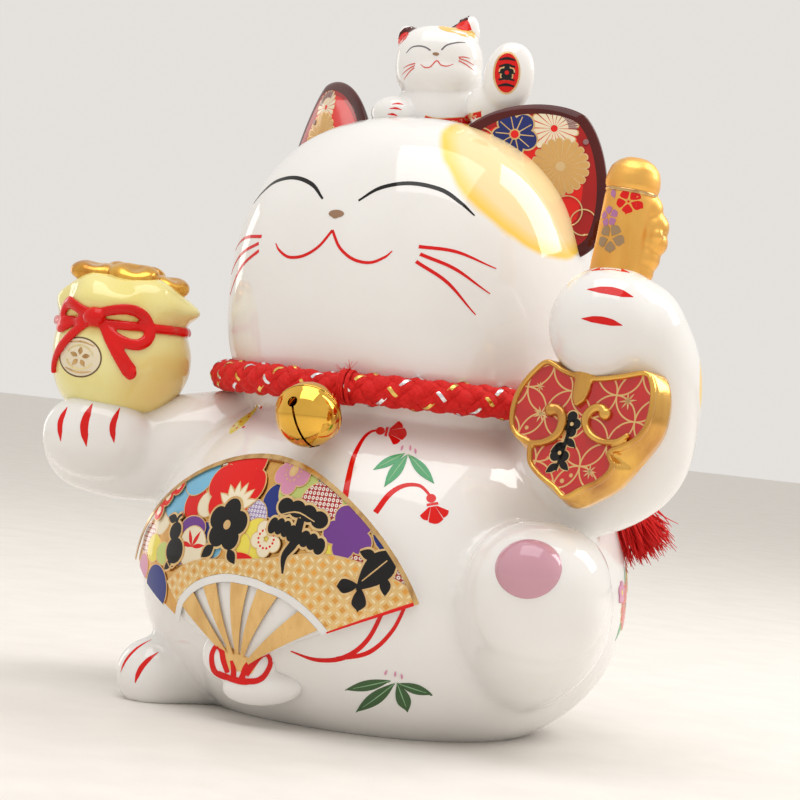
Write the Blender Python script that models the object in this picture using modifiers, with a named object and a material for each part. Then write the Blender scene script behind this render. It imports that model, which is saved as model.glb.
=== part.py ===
"""A seated lucky cat: slip-cast glazed castings luted together, a braided collar, a bell and a stopper.

Lengths are in millimetres in the cat's own frame: X to the cat's left, Y to its back, Z up, and the
standing face at Z = 0. place() scales a piece to metres and moves it by FRAME_SHIFT.
An azimuth is in degrees round the body from its front, positive towards the cat's left.
"""

import math

import bmesh
import bpy
import numpy as np
from mathutils import Matrix, Vector
from mathutils.bvhtree import BVHTree

MM = 0.001
FRAME_SHIFT = Vector((-3.636, -3.124, 0.0))  # puts the middle of the bounding box over the origin

GAP = 0.3  # left between pieces that touch
WALL = 5.0  # slip-cast wall
WELD = 1e-4  # vertices this close are one
SHARP_ANGLE = 40.0  # degrees at which an edge is a crease rather than a soft curve

# Rounded forms: centre, half sizes along X and Y, half heights above and below the centre, exponent.
TORSO = dict(centre=(0, 0, 44), radii=(80, 74), up=65.5, down=55.5, power=2.2)
HEAD = dict(centre=(0, -1, 134.5), radii=(60, 52.5), up=64.5, down=51, power=2.4)

COLLAR_HEIGHT = 107.8
COLLAR_RADII = (61.6, 55.8)
COLLAR_CENTRE_Y = 0.6
CORD_RADIUS = 4.7
COLLAR_KNOT_AZIMUTH = 152.0
WHIPPING_AZIMUTH = 16.0
WHIPPING_LENGTH = 6.0

BELL_AZIMUTH = 4.6
BELL_HANG = (0.0, -2.1, -2.5)  # from the cord's middle to the strand that holds the loop
BELL_TWIST = 20.0  # degrees that the mouth is turned to the cat's left
BELL_SPIN = 68.0  # degrees of the slot round the bell's own axis
BELL_RADIUS = 10.2
BELL_WALL = 0.9
BELL_LEAN = 58.0  # degrees that the loop leans back to the cord
BELL_SLOT = 1.1
BELL_PELLET_RADIUS = 2.6
BELL_EYE_REACH = 3.1  # from the sphere to the middle of the loop
BELL_EYE_RADIUS = 2.1
BELL_WIRE = 0.55

FAN_AZIMUTH = -4.0
FAN_PIVOT_HEIGHT = 19.0
FAN_RADIUS = 68.0
FAN_HALF_SPREAD = 66.0
FAN_PROUD = 2.6
FAN_DEPTH = 6.0  # how far the fan's back lies inside the clay that it is luted to
FAN_FORESHORTENING = 0.94

STOPPER_RADIUS = 13.0
STOPPER_FLANGE = 16.0
STOPPER_LENGTH = 10.0
STOPPER_COUNTERSINK = 2.0
BASE_RING_RADIUS = 42.0
BASE_RECESS = 3.0

SHOULDER_TO_BAG = ((-48, -20, 85, 19), (-66, -31, 82, 18), (-82, -40, 79, 16.6), (-93, -46, 79.5, 15.2))
PAW_LOWERED = dict(centre=(-93, -47, 80), radii=(15, 15.5, 14.8))
SHOULDER_TO_RAISED = ((58, -2, 86, 19), (76, -5, 87, 18.5), (90, -10, 95, 17.8), (96, -18, 109, 17.4),
                      (96, -27, 123, 17.6), (92, -34, 133, 18))
PAW_RAISED = dict(centre=(92, -34, 134), radii=(18.6, 18.8, 18.6))
HIP_TO_RAISED_FOOT = ((48, -8, 38, 32), (66, -24, 43, 28), (78, -38, 49, 24))
FOOT_RAISED = dict(centre=(82, -44, 52), radii=(22, 21, 21.5), power=2.3, turn=(14, 0, 19))
SOLE_CENTRE = (87, -59.5, 59.5)
SOLE_AIM = (19.0, 14.0)  # azimuth and elevation that the sole faces
SOLE_RADII = (10.4, 9.4, 7.5)
HIP_TO_RESTING_FOOT = ((-36, -28, 15, 16), (-45, -43, 11.5, 13.5), (-51.5, -54, 8.5, 12))
TAIL_STATIONS = ((172, 13, 1), (184, 17, 2), (196, 27, 2.5), (199, 40, 3), (192, 50, 3))
TAIL_RADII = (11, 11, 10.5, 10, 9)

BAG_AXIS = (-84.5, -46.5)
BAG_PROFILE = (
    (0, 137.5), (9, 137), (15.5, 134.6), (20.5, 130.5), (22.6, 126), (22, 121.3), (22.6, 117),
    (23.2, 111), (22.8, 104), (20.4, 96.5), (15, 91), (8, 88.3), (0, 87.6),
)
BAG_COINS = (  # offsets from the bag's axis, a height, a tilt and a turn
    (-9, -5, 136.5, 12, -20), (2, -8, 138, -14, 15), (9, 1, 136.5, -18, 60),
    (-2, 6, 138.5, 8, -50), (1, -1, 140, 10, 5),
)
COIN_RADII = (8.2, 5.4, 2.2)
RIBBON_HEIGHT = 120.8
RIBBON_WAIST = 22.9
RIBBON_BAND_RADIUS = 1.9
RIBBON_STRAND_RADIUS = 1.5
RIBBON_KNOT_AZIMUTH = 17.0
RIBBON_STRANDS = (  # azimuths from the knot and heights: two loops, then two tails
    ((0, 121.5), (14, 126), (32, 124), (36, 117), (22, 114), (6, 120)),
    ((0, 121.5), (-14, 126.5), (-32, 125), (-37, 118), (-22, 115), (-6, 120)),
    ((2, 121), (12, 114), (20, 107)),
    ((-2, 121), (-20, 114), (-33, 106)),
)

RUYI_AXIS_X = 91.0
RUYI_FACE_Y = -51.5
RUYI_THICKNESS = 14.0
RUYI_EDGE = 2.0  # rounding of the cloud's edges
RUYI_SCALE = 0.93
RUYI_HEAD_HEIGHT = 101.0
RUYI_LOBES = (((13.5, 6), 11.5, 110, -62), ((8.5, -11), 7.0, 22, -70))  # centre, radius, start and end
RUYI_HANDLE_AXIS = (92.5, -31)
RUYI_HANDLE_RADIUS = 8.6
RUYI_HANDLE_TOP = 186.0
RUYI_SCROLL = ((8.5, 171, 4.8), (11, 164.5, 5), (8.5, 158, 5.2))  # reach, height and radius of each ball
KITTEN_CENTRE = (-1.5, 4, 218)
KITTEN_HEAD_RADII = (15, 13.2, 13.6)

KNOT_LIFT = 2.0
KNOT_LOBE = 4.2  # how far each of the knot's side lobes stands from its middle
THREAD_RADIUS = 0.7
THREAD_HALF_LENGTH = 5.0
EYE_POCKET_RADII = (2.9, 3.4, 3.4)
BELL_SEAM = 0.16  # half the seam between the cups
BELL_LIP = 0.5
BELL_LIP_HEIGHT = 1.1
BELL_SLOT_END = 34.0  # degrees below the seam that the slot's end holes are
BELL_SLOT_HOLE = 1.5

CORD_END_RADIUS = 4.4
TASSEL_PROFILE = ((0, 0), (4.6, -0.3), (6, -4), (8, -11), (9.4, -19), (9.6, -23), (8, -25), (0, -25))
CORD_ENDS = {
    # stations over the back, each an azimuth, a height and its stand-off; the last is the tassel's tip
    "left": (
        (145, 92.5, 5.8), (140, 90.5, 5.8), (132, 87.5, 5.6),
        (124, 83.5, 6.0), (119, 78, 7.0), (115, 56, 13),
    ),
    "right": (
        (160, 94.5, 6.2), (162.5, 89, 6.0), (164.5, 82, 5.6),
        (165.5, 73, 5.6), (166, 64, 6.8), (166.5, 40, 13),
    ),
}
END_WHIPPING_LENGTH = 4.0
EAR_LEFT = dict(base=(38.5, 4, 178), turn=25.0, tilt=36.0, height=29.5)
EAR_RIGHT = dict(base=(37.5, 5, 179.5), turn=25.0, tilt=29.0, height=33.0)  # mirrored after it is shaped
EAR_HALF_WIDTH = 28.5
EAR_HALF_THICKNESS = 5.2
EAR_ROOT_DEPTH = 20.0
EAR_BEND = 5.5  # how far the ear's edges curl forwards


# ---------------------------------------------------------------- scene helpers


def clear_scene():
    for obj in list(bpy.data.objects):
        bpy.data.objects.remove(obj)
    for mesh in list(bpy.data.meshes):
        bpy.data.meshes.remove(mesh)


def make_material(name, rgb, roughness, metallic=0.0):
    material = bpy.data.materials.new(name)
    material.use_nodes = True
    shader = material.node_tree.nodes["Principled BSDF"]
    shader.inputs["Base Color"].default_value = (*rgb, 1.0)
    shader.inputs["Roughness"].default_value = roughness
    shader.inputs["Metallic"].default_value = metallic
    return material


def signed_power(value, exponent):
    return math.copysign(abs(value) ** exponent, value)


# ---------------------------------------------------------------- clay forms, in millimetres


def ball(centre, radii, power=2.0, up=None, down=None, turn=(0, 0, 0), segments=24, rings=14):
    """A rounded form as a bmesh: an ellipsoid at power 2, boxier above it.

    up and down are its half heights above and below the centre, where they differ.
    """
    form = bmesh.new()
    bmesh.ops.create_uvsphere(form, u_segments=segments, v_segments=rings, radius=1)
    rotation = Matrix.Rotation(math.radians(turn[2]), 3, "Z")
    rotation = rotation @ Matrix.Rotation(math.radians(turn[1]), 3, "Y")
    rotation = rotation @ Matrix.Rotation(math.radians(turn[0]), 3, "X")
    for vert in form.verts:
        x, y, z = vert.co
        flat = max(math.hypot(x, y), 1e-9)
        ring = flat ** (2 / power)
        half = (up if z > 0 else down) or radii[2]
        local = Vector((
            radii[0] * ring * signed_power(x / flat, 2 / power),
            radii[1] * ring * signed_power(y / flat, 2 / power),
            half * signed_power(z, 2 / power),
        ))
        vert.co = rotation @ local + Vector(centre)
    return form


def between(four, t):
    """The point at share t between the middle two of four stations, on a smooth curve through them."""
    a, b, c, d = four
    square = (2 * a - 5 * b + 4 * c - d) * t**2
    cube = (3 * b - a - 3 * c + d) * t**3
    return 0.5 * (2 * b + (c - a) * t + square + cube)


def with_ends(stations):
    """The stations with one more beyond each end, in line with the last two."""
    points = np.array(stations, float)
    return np.vstack([2 * points[0] - points[1], points, 2 * points[-1] - points[-2]])


def limb(stations, steps=5):
    """Balls along a smooth path, as a list of bmeshes. Each station is (x, y, z, radius)."""
    padded = with_ends(stations)
    spots = [between(padded[i - 1 : i + 3], t)
             for i in range(1, len(padded) - 2) for t in np.arange(0, 1, 1 / steps)]
    spots.append(padded[-2])
    return [ball(spot[:3], (spot[3],) * 3, segments=20, rings=12) for spot in spots]


def mesh_of(forms):
    """One mesh out of several bmeshes, which it frees."""
    joined = bmesh.new()
    for form in forms:
        piece = bpy.data.meshes.new("piece")
        form.to_mesh(piece)
        joined.from_mesh(piece)
        form.free()
        bpy.data.meshes.remove(piece)
    mesh = bpy.data.meshes.new("form")
    joined.to_mesh(mesh)
    joined.free()
    return mesh


def evaluated(mesh, setup):
    """The mesh after the modifiers that setup(object) adds."""
    holder = bpy.data.objects.new("holder", mesh)
    bpy.context.scene.collection.objects.link(holder)
    setup(holder)
    bpy.context.view_layer.update()
    graph = bpy.context.evaluated_depsgraph_get()
    result = bpy.data.meshes.new_from_object(holder.evaluated_get(graph), depsgraph=graph)
    bpy.data.objects.remove(holder)
    return result


def fuse(forms, voxel, triangles, smooth=6):
    """Clay forms pressed into one skin, their meeting lines rounded, at about that many triangles."""

    def knead(holder):
        remesh = holder.modifiers.new("remesh", "REMESH")
        remesh.mode = "VOXEL"
        remesh.voxel_size = voxel
        if smooth:
            relax = holder.modifiers.new("smooth", "SMOOTH")
            relax.factor = 0.5
            relax.iterations = smooth

    skin = evaluated(mesh_of(forms), knead)
    return reduced(skin, triangles)


def reduced(mesh, triangles):
    """The mesh thinned out to about that many triangles."""
    mesh.calc_loop_triangles()
    share = triangles / len(mesh.loop_triangles)
    if share >= 1:
        return mesh

    def thin(holder):
        decimate = holder.modifiers.new("decimate", "DECIMATE")
        decimate.ratio = share
        decimate.use_collapse_triangulate = True

    return evaluated(mesh, thin)


def cut_below(mesh, height=0.0):
    """The mesh without what is below height, closed with a flat face."""
    work = bmesh.new()
    work.from_mesh(mesh)
    geometry = work.verts[:] + work.edges[:] + work.faces[:]
    plane = dict(plane_co=(0, 0, height), plane_no=(0, 0, 1))
    bmesh.ops.bisect_plane(work, geom=geometry, clear_inner=True, **plane)
    rim = [edge for edge in work.edges if edge.is_boundary]
    bmesh.ops.edgeloop_fill(work, edges=rim)
    bmesh.ops.recalc_face_normals(work, faces=work.faces)
    work.to_mesh(mesh)
    work.free()
    return mesh


def combined(mesh, other, operation="DIFFERENCE"):
    """The mesh with the other cut from it, or joined to it with "UNION"."""
    cutter = bpy.data.objects.new("cutter", other)
    bpy.context.scene.collection.objects.link(cutter)

    def apply(holder):
        boolean = holder.modifiers.new("boolean", "BOOLEAN")
        boolean.operation = operation
        boolean.object = cutter

    result = evaluated(mesh, apply)
    bpy.data.objects.remove(cutter)
    return result


def grown(mesh, distance=GAP):
    """A copy whose surface stands out by distance, to cut a neighbour with."""
    work = bmesh.new()
    work.from_mesh(mesh)
    work.normal_update()
    for vert in work.verts:
        vert.co += vert.normal * distance * min(vert.calc_shell_factor(), 1.5)
    copy = bpy.data.meshes.new("grown")
    work.to_mesh(copy)
    work.free()
    return copy


def trimmed(mesh, *neighbours):
    """The mesh cut back so that it keeps its gap to each neighbour, without loose crumbs."""
    for neighbour in neighbours:
        mesh = combined(mesh, grown(neighbour))
    return largest_body(mesh)


def largest_body(mesh):
    """The mesh without the loose crumbs that a cut leaves."""
    work = bmesh.new()
    work.from_mesh(mesh)
    bmesh.ops.remove_doubles(work, verts=work.verts, dist=WELD)
    left = set(work.verts)
    bodies = []
    while left:
        stack = [left.pop()]
        body = []
        while stack:
            vert = stack.pop()
            body.append(vert)
            for edge in vert.link_edges:
                other = edge.other_vert(vert)
                if other in left:
                    left.remove(other)
                    stack.append(other)
        bodies.append(body)
    bodies.sort(key=len)
    for body in bodies[:-1]:
        bmesh.ops.delete(work, geom=body, context="VERTS")
    work.to_mesh(mesh)
    work.free()
    return mesh


def turned(profile, centre=(0, 0, 0), segments=32, turn=None):
    """A lathe-turned solid from (radius, height) points that run down the outer side, top to bottom.

    A profile that ends where it starts makes a ring.
    """
    outline = bmesh.new()
    closed = profile[0] == profile[-1]
    verts = [outline.verts.new((r, 0, z)) for r, z in (profile[:-1] if closed else profile)]
    for a, b in zip(verts, verts[1:] + verts[:1] if closed else verts[1:]):
        outline.edges.new((a, b))
    mesh = bpy.data.meshes.new("profile")
    outline.to_mesh(mesh)
    outline.free()

    def spin(holder):
        screw = holder.modifiers.new("screw", "SCREW")
        screw.steps = screw.render_steps = segments
        screw.use_merge_vertices = True
        screw.merge_threshold = WELD

    result = evaluated(mesh, spin)
    if turn is not None:
        result.transform(turn.to_4x4())
    result.transform(Matrix.Translation(Vector(centre)))
    return result


def welded(curve):
    """The curve as a closed mesh with its caps welded on."""
    holder = bpy.data.objects.new("curve", curve)
    bpy.context.scene.collection.objects.link(holder)
    bpy.context.view_layer.update()
    graph = bpy.context.evaluated_depsgraph_get()
    mesh = bpy.data.meshes.new_from_object(holder.evaluated_get(graph), depsgraph=graph)
    bpy.data.objects.remove(holder)
    work = bmesh.new()
    work.from_mesh(mesh)
    bmesh.ops.remove_doubles(work, verts=work.verts, dist=WELD)
    bmesh.ops.recalc_face_normals(work, faces=work.faces)
    work.to_mesh(mesh)
    work.free()
    return mesh


def add_outline(curve, points, closed):
    spline = curve.splines.new("POLY")
    spline.points.add(len(points) - 1)
    for target, point in zip(spline.points, points):
        target.co = (*point, 1)
    spline.use_cyclic_u = closed


def rod(points, radius, closed=False):
    """A wire or strap along smooth points, as a mesh."""
    curve = bpy.data.curves.new("rod", "CURVE")
    curve.dimensions = "3D"
    curve.bevel_depth = radius
    curve.bevel_resolution = 2
    curve.use_fill_caps = not closed
    add_outline(curve, points, closed)
    return welded(curve)


def form_of(mesh):
    form = bmesh.new()
    form.from_mesh(mesh)
    return form


def curved_path(stations, count):
    """count points on a smooth curve through the stations."""
    padded = with_ends(stations)
    shares = np.linspace(0, len(stations) - 1 - 1e-6, count)
    return [between(padded[int(s) : int(s) + 4], s - int(s)) for s in shares]


def place(name, mesh, material, pivot=None):
    """Turns a millimetre mesh into a named object in metres, with its origin at pivot."""
    origin = Vector(pivot) if pivot is not None else Vector((0, 0, 0))
    mesh.transform(Matrix.Scale(MM, 4) @ Matrix.Translation(-origin))
    mesh.name = name
    mesh.materials.clear()
    mesh.materials.append(material)
    mesh.shade_smooth()
    mesh.set_sharp_from_angle(angle=math.radians(SHARP_ANGLE))
    obj = bpy.data.objects.new(name, mesh)
    obj.location = (origin + FRAME_SHIFT) * MM
    part_collection.objects.link(obj)
    return obj


# ---------------------------------------------------------------- places on the body


def body_form(shape, shrink=0.0, segments=40, rings=24):
    """One of the rounded forms above, or the hollow that many millimetres inside it."""
    radii = (shape["radii"][0] - shrink, shape["radii"][1] - shrink, shape["up"] - shrink)
    return ball(shape["centre"], radii, shape["power"], shape["up"] - shrink, shape["down"] - shrink,
                segments=segments, rings=rings)


def on_torso(azimuth, height, lift=0.0):
    """The point of the torso at that azimuth and height, moved out along the surface's normal by lift."""
    power = TORSO["power"]
    rx, ry = TORSO["radii"]
    drop = height - TORSO["centre"][2]
    rz = TORSO["up"] if drop > 0 else TORSO["down"]
    ring = max(1 - abs(drop / rz) ** power, 1e-6) ** (1 / power)
    side, front = math.sin(math.radians(azimuth)), math.cos(math.radians(azimuth))
    reach = (abs(side / rx) ** power + abs(front / ry) ** power) ** (-1 / power)
    point = Vector((ring * reach * side, -ring * reach * front, height))
    normal = Vector((
        math.copysign(abs(point.x / rx) ** (power - 1) / rx, point.x),
        math.copysign(abs(point.y / ry) ** (power - 1) / ry, point.y),
        math.copysign(abs(drop / rz) ** (power - 1) / rz, drop),
    )).normalized()
    return point + normal * lift


def on_collar(azimuth, lift=0.0):
    """The point of the collar cord's middle at that azimuth, moved out by lift."""
    side, front = math.sin(math.radians(azimuth)), math.cos(math.radians(azimuth))
    radii = (COLLAR_RADII[0] + lift, COLLAR_RADII[1] + lift)
    return Vector((radii[0] * side, COLLAR_CENTRE_Y - radii[1] * front, COLLAR_HEIGHT))


def mirrored(mesh):
    """The mesh moved to the cat's other side."""
    mesh.transform(Matrix.Scale(-1, 4, (1, 0, 0)))
    mesh.flip_normals()
    return mesh


# ---------------------------------------------------------------- body castings


def body_outside():
    """The glazed outside of the torso and head, with a groove that the collar lies in."""
    skin = fuse([body_form(TORSO), body_form(HEAD)], 3.0, 2700, smooth=6)
    skin = cut_below(skin)
    return combined(skin, grown(collar_mesh()))


def base_openings():
    """The recess inside the standing ring and the drain hole with its countersink, as one cutter."""
    bore_top = WALL + BASE_RECESS + 5
    countersink = BASE_RECESS + STOPPER_COUNTERSINK
    return turned(
        (
            (0, bore_top), (STOPPER_RADIUS + GAP, bore_top), (STOPPER_RADIUS + GAP, countersink),
            (STOPPER_FLANGE + GAP, countersink), (STOPPER_FLANGE + GAP, BASE_RECESS),
            (BASE_RING_RADIUS, BASE_RECESS), (BASE_RING_RADIUS + 2, -2), (0, -2),
        ),
        segments=32,
    )


def body_hollow():
    """The air inside the casting."""
    hollow = fuse([body_form(TORSO, WALL, 32, 18), body_form(HEAD, WALL, 28, 16)], 5.0, 700)
    return cut_below(hollow, BASE_RECESS + WALL)


def body_shell(outside):
    shell = combined(outside, body_hollow())
    return combined(shell, base_openings())


def ear(shape, outside):
    """An ear on the cat's left side, a bent plate with a hollow face."""
    rim = 1.55
    form = bmesh.new()
    bmesh.ops.create_uvsphere(form, u_segments=24, v_segments=14, radius=1)
    for vert in form.verts:
        x, y, z = vert.co
        across = EAR_HALF_WIDTH * (signed_power(x, 2 / rim) if z > 0 else x)
        height = shape["height"] * signed_power(z, 2 / rim) if z > 0 else EAR_ROOT_DEPTH * z
        bend = EAR_BEND * (across / EAR_HALF_WIDTH) ** 2
        lean = 2.5 * max(z, 0)
        vert.co = (across - lean, EAR_HALF_THICKNESS * y - bend, height)
    mesh = mesh_of([form])
    turn = Matrix.Rotation(math.radians(shape["turn"]), 4, "Z")
    turn = turn @ Matrix.Rotation(math.radians(shape["tilt"]), 4, "Y")
    mesh.transform(Matrix.Translation(shape["base"]) @ turn)
    return trimmed(mesh, outside)


def arm_lowered(outside):
    forms = limb(SHOULDER_TO_BAG)
    forms.append(ball(**PAW_LOWERED))
    return trimmed(fuse(forms, 2.6, 540), outside, collar_mesh())


def arm_raised(outside):
    forms = limb(SHOULDER_TO_RAISED)
    forms.append(ball(**PAW_RAISED))
    return trimmed(fuse(forms, 2.8, 760), outside, collar_mesh())


def foot_raised(outside):
    forms = limb(HIP_TO_RAISED_FOOT)
    forms.append(ball(**FOOT_RAISED))
    foot = trimmed(fuse(forms, 3.0, 560), outside)
    return combined(foot, sole_form(GAP))


def sole_matrix():
    azimuth, elevation = (math.radians(angle) for angle in SOLE_AIM)
    facing = Vector((math.sin(azimuth) * math.cos(elevation), -math.cos(azimuth) * math.cos(elevation),
                     math.sin(elevation)))
    return Matrix.Translation(SOLE_CENTRE) @ facing.to_track_quat("Z", "Y").to_matrix().to_4x4()


def sole_form(extra=0.0):
    """The pad as a shallow lens across the sole."""
    mesh = mesh_of([ball((0, 0, 0), [radius + extra for radius in SOLE_RADII], segments=20, rings=8)])
    mesh.transform(sole_matrix())
    return mesh


def foot_resting(outside):
    forms = limb(HIP_TO_RESTING_FOOT)
    return trimmed(cut_below(fuse(forms, 2.6, 340)), outside)


def tail(outside):
    """A short curled tail pressed flat against the back."""
    path = [on_torso(*station) for station in TAIL_STATIONS]
    forms = limb([(*point, radius) for point, radius in zip(path, TAIL_RADII)])
    return trimmed(fuse(forms, 2.6, 420), outside)


def fan_point(radius, angle, lift):
    """A point of the fan, spread over the belly: angle in degrees from upright."""
    across = radius * math.sin(math.radians(angle))
    rise = radius * math.cos(math.radians(angle))
    azimuth = FAN_AZIMUTH + math.degrees(across / TORSO["radii"][0])
    height = FAN_PIVOT_HEIGHT + FAN_FORESHORTENING * rise
    return on_torso(azimuth, height, lift)


def fan_relief(outside):
    """The folding fan as a raised sector that follows the belly, rounded where it meets the clay."""
    radii = [2, 12, 24, 36, 46, 55, 62, 66, FAN_RADIUS]
    angles = np.linspace(-FAN_HALF_SPREAD, FAN_HALF_SPREAD, 25)
    work = bmesh.new()
    layers = []
    for lift in (FAN_PROUD, -FAN_DEPTH):
        layers.append([[work.verts.new(fan_point(r, a, lift)) for a in angles] for r in radii])
    for layer, flip in zip(layers, (False, True)):
        for i in range(len(radii) - 1):
            for j in range(len(angles) - 1):
                quad = [layer[i][j], layer[i + 1][j], layer[i + 1][j + 1], layer[i][j + 1]]
                work.faces.new(quad[::-1] if flip else quad)
    rim = [edge for edge in work.edges if edge.is_boundary]
    bmesh.ops.bridge_loops(work, edges=rim)
    bmesh.ops.recalc_face_normals(work, faces=work.faces)
    mesh = bpy.data.meshes.new("fan")
    work.to_mesh(mesh)
    work.free()
    return trimmed(mesh, outside)


# ---------------------------------------------------------------- what the cat holds


def money_bag(arm):
    """The closed bag, hollowed where it rests on the paw."""
    bag = turned(BAG_PROFILE, (*BAG_AXIS, 0), segments=28)
    return trimmed(bag, arm)


def bag_coins(bag):
    """Five oval coins heaped in the mouth of the bag."""
    x, y = BAG_AXIS
    forms = [ball((x + dx, y + dy, z), COIN_RADII, turn=(tilt, tilt / 2, turn), segments=20, rings=10)
             for dx, dy, z, tilt, turn in BAG_COINS]
    forms.append(ball((x, y, 135), (12, 10, 4)))
    return trimmed(fuse(forms, 0.9, 440, smooth=1), bag)


def on_bag(azimuth, height, lift=1.6):
    """The point of the bag at that azimuth from the ribbon's knot and that height."""
    turn = math.radians(azimuth + RIBBON_KNOT_AZIMUTH)
    heights = [z for _, z in BAG_PROFILE[::-1]]
    reach = np.interp(height, heights, [r for r, _ in BAG_PROFILE[::-1]]) + lift
    return (BAG_AXIS[0] + reach * math.sin(turn), BAG_AXIS[1] - reach * math.cos(turn), height)


def bag_ribbon(bag):
    """The band round the bag's waist with a bow of two loops and two tails."""
    x, y = BAG_AXIS
    circle = [(x + RIBBON_WAIST * math.cos(t), y + RIBBON_WAIST * math.sin(t), RIBBON_HEIGHT)
              for t in np.linspace(0, math.tau, 32, endpoint=False)]
    forms = []
    for strand in RIBBON_STRANDS:
        spots = [on_bag(*spot) for spot in strand]
        forms.append(form_of(rod(curved_path(spots, 16), RIBBON_STRAND_RADIUS)))
    forms.append(form_of(rod(circle, RIBBON_BAND_RADIUS, closed=True)))
    forms.append(ball(on_bag(0, 121.5, 1.8), (3.6, 2.4, 2.9), segments=16, rings=10))
    return trimmed(fuse(forms, 0.8, 560, smooth=2), bag)


def ruyi_outline():
    """Half of the cloud-shaped head, from the top notch round its side lobes to the tip, as (x, z)."""
    points = [(0, 16.5)]
    for (cx, cz), radius, start, end in RUYI_LOBES:
        for angle in np.linspace(math.radians(start), math.radians(end), 9):
            points.append((cx + radius * math.cos(angle), cz + radius * math.sin(angle)))
    points.append((3.5, -20.5))
    points.append((0, -22.5))
    return points


def ruyi_head(*neighbours):
    """The cloud-shaped head as a thick plate with rounded edges."""
    half = ruyi_outline()
    outline = half + [(-x, z) for x, z in half[-2:0:-1]]
    curve = bpy.data.curves.new("cloud", "CURVE")
    curve.dimensions = "2D"
    curve.fill_mode = "BOTH"
    curve.extrude = RUYI_THICKNESS / 2 - RUYI_EDGE
    curve.bevel_depth = RUYI_EDGE
    curve.bevel_resolution = 1
    add_outline(curve, [(x * RUYI_SCALE, z * RUYI_SCALE, 0) for x, z in outline], closed=True)
    mesh = welded(curve)
    middle = Matrix.Translation((RUYI_AXIS_X, RUYI_FACE_Y + RUYI_THICKNESS / 2, RUYI_HEAD_HEIGHT))
    mesh.transform(middle @ Matrix.Rotation(math.radians(90), 4, "X"))
    return trimmed(mesh, *neighbours)


def ruyi_handle(*neighbours):
    """The round handle above the paw, with its domed cap and the scroll down one side."""
    x, y = RUYI_HANDLE_AXIS
    top = RUYI_HANDLE_TOP
    radius = RUYI_HANDLE_RADIUS
    profile = (
        (0, top), (4.5, top - 0.8), (7.6, top - 3.6), (9.2, top - 8), (9.2, top - 9.4), (8.4, top - 10),
        (radius, top - 11), (radius, top - 26), (9.0, top - 44), (0, top - 44.2),
    )
    stem = form_of(turned(profile, (x, y, 0), segments=24))
    scroll = [ball((x + reach, y, z), (r, 4.6, r), segments=18, rings=12) for reach, z, r in RUYI_SCROLL]
    return trimmed(fuse([stem, *scroll], 1.3, 560, smooth=1), *neighbours)


def kitten(outside):
    """The small cat on the head: its head and ears, its chest, a paw and its seat."""
    x, y, z = KITTEN_CENTRE
    forms = [
        ball((x, y, z), KITTEN_HEAD_RADII, 2.4),
        ball((x + 1, y + 2, z - 14), (14.4, 13, 12), 2.2),
        ball((x - 9, y - 10, 200), (8.6, 7, 6)),
        ball((x + 2, y + 8, z - 16), (17, 13, 8)),
    ]
    for side in (-1, 1):
        tip = (x + side * 10, y + 1, z + 9.5)
        forms.append(ball(tip, (4.6, 3.2, 7.4), 1.7, turn=(0, side * 22, 0)))
    return trimmed(fuse(forms, 1.7, 800, smooth=3), outside)


def kitten_arm(*neighbours):
    """The small cat's raised arm, which carries an oval coin."""
    forms = [ball((22, 5, 214.5), (7.4, 4.8, 11.6), 2.2), ball((17, 7, 204), (7, 5.4, 8))]
    return trimmed(fuse(forms, 1.6, 320, smooth=2), *neighbours)


# ---------------------------------------------------------------- collar and bell


def collar_mesh():
    """The closed ring of the collar cord, before anything is let into it."""
    points = [on_collar(azimuth) for azimuth in np.linspace(0, 360, 44, endpoint=False)]
    return rod(points, CORD_RADIUS, closed=True)


def bell_eye_centre():
    """The middle of the bell's loop, where the collar's strand passes through it."""
    return on_collar(BELL_AZIMUTH) + Vector(BELL_HANG)


def bell_matrix():
    """Stands the bell's own Z axis, from its mouth to its loop, back to the cord."""
    turn = Matrix.Rotation(math.radians(BELL_TWIST), 4, "Z")
    turn = turn @ Matrix.Rotation(math.radians(-BELL_LEAN), 4, "X")
    reach = turn @ Vector((0, 0, BELL_RADIUS + BELL_EYE_REACH))
    spin = Matrix.Rotation(math.radians(BELL_SPIN), 4, "Z")
    return Matrix.Translation(bell_eye_centre() - reach) @ turn @ spin


def eye_pocket():
    """The hollow that the loop sits in, opened among the strands of the cord."""
    return mesh_of([ball(bell_eye_centre(), EYE_POCKET_RADII, segments=20, rings=12)])


def bell_thread():
    """The strand that passes through the bell's loop, along the cord."""
    centre = bell_eye_centre()
    reach = THREAD_HALF_LENGTH
    return rod([centre + Vector((x, 0, 0)) for x in np.linspace(-reach, reach, 9)], THREAD_RADIUS)


def collar_cord():
    """The collar, opened for the bell's loop and for the strand that holds it, and cut back at the knot."""
    cord = combined(collar_mesh(), eye_pocket())
    reach = THREAD_HALF_LENGTH + GAP
    hole = rod([bell_eye_centre() + Vector((x, 0, 0)) for x in (-reach, 0, reach)], THREAD_RADIUS + GAP)
    cord = combined(cord, hole)
    return trimmed(cord, knot_form())


def knot_form():
    """The overhand knot that closes the collar, as one rounded lump."""
    spot = on_collar(COLLAR_KNOT_AZIMUTH, KNOT_LIFT)
    turn = math.radians(COLLAR_KNOT_AZIMUTH)
    side = Vector((math.cos(turn), math.sin(turn), 0)) * KNOT_LOBE
    forms = [
        ball(spot + side - Vector((0, 0, 0.5)), (7, 7, 7)),
        ball(spot - side, (7, 7, 7.2)),
        ball(spot + Vector((0, 0, 1)), (8, 8, 8)),
    ]
    return fuse(forms, 1.3, 420, smooth=2)


def sleeve(bore, outer, length, centre, direction):
    """A thread whipping wound round a cord."""
    half = length / 2
    mesh = turned(((bore, half), (outer, half), (outer, -half), (bore, -half), (bore, half)), segments=20)
    mesh.transform(Matrix.Translation(centre) @ direction.to_track_quat("Z", "Y").to_matrix().to_4x4())
    return mesh


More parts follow.
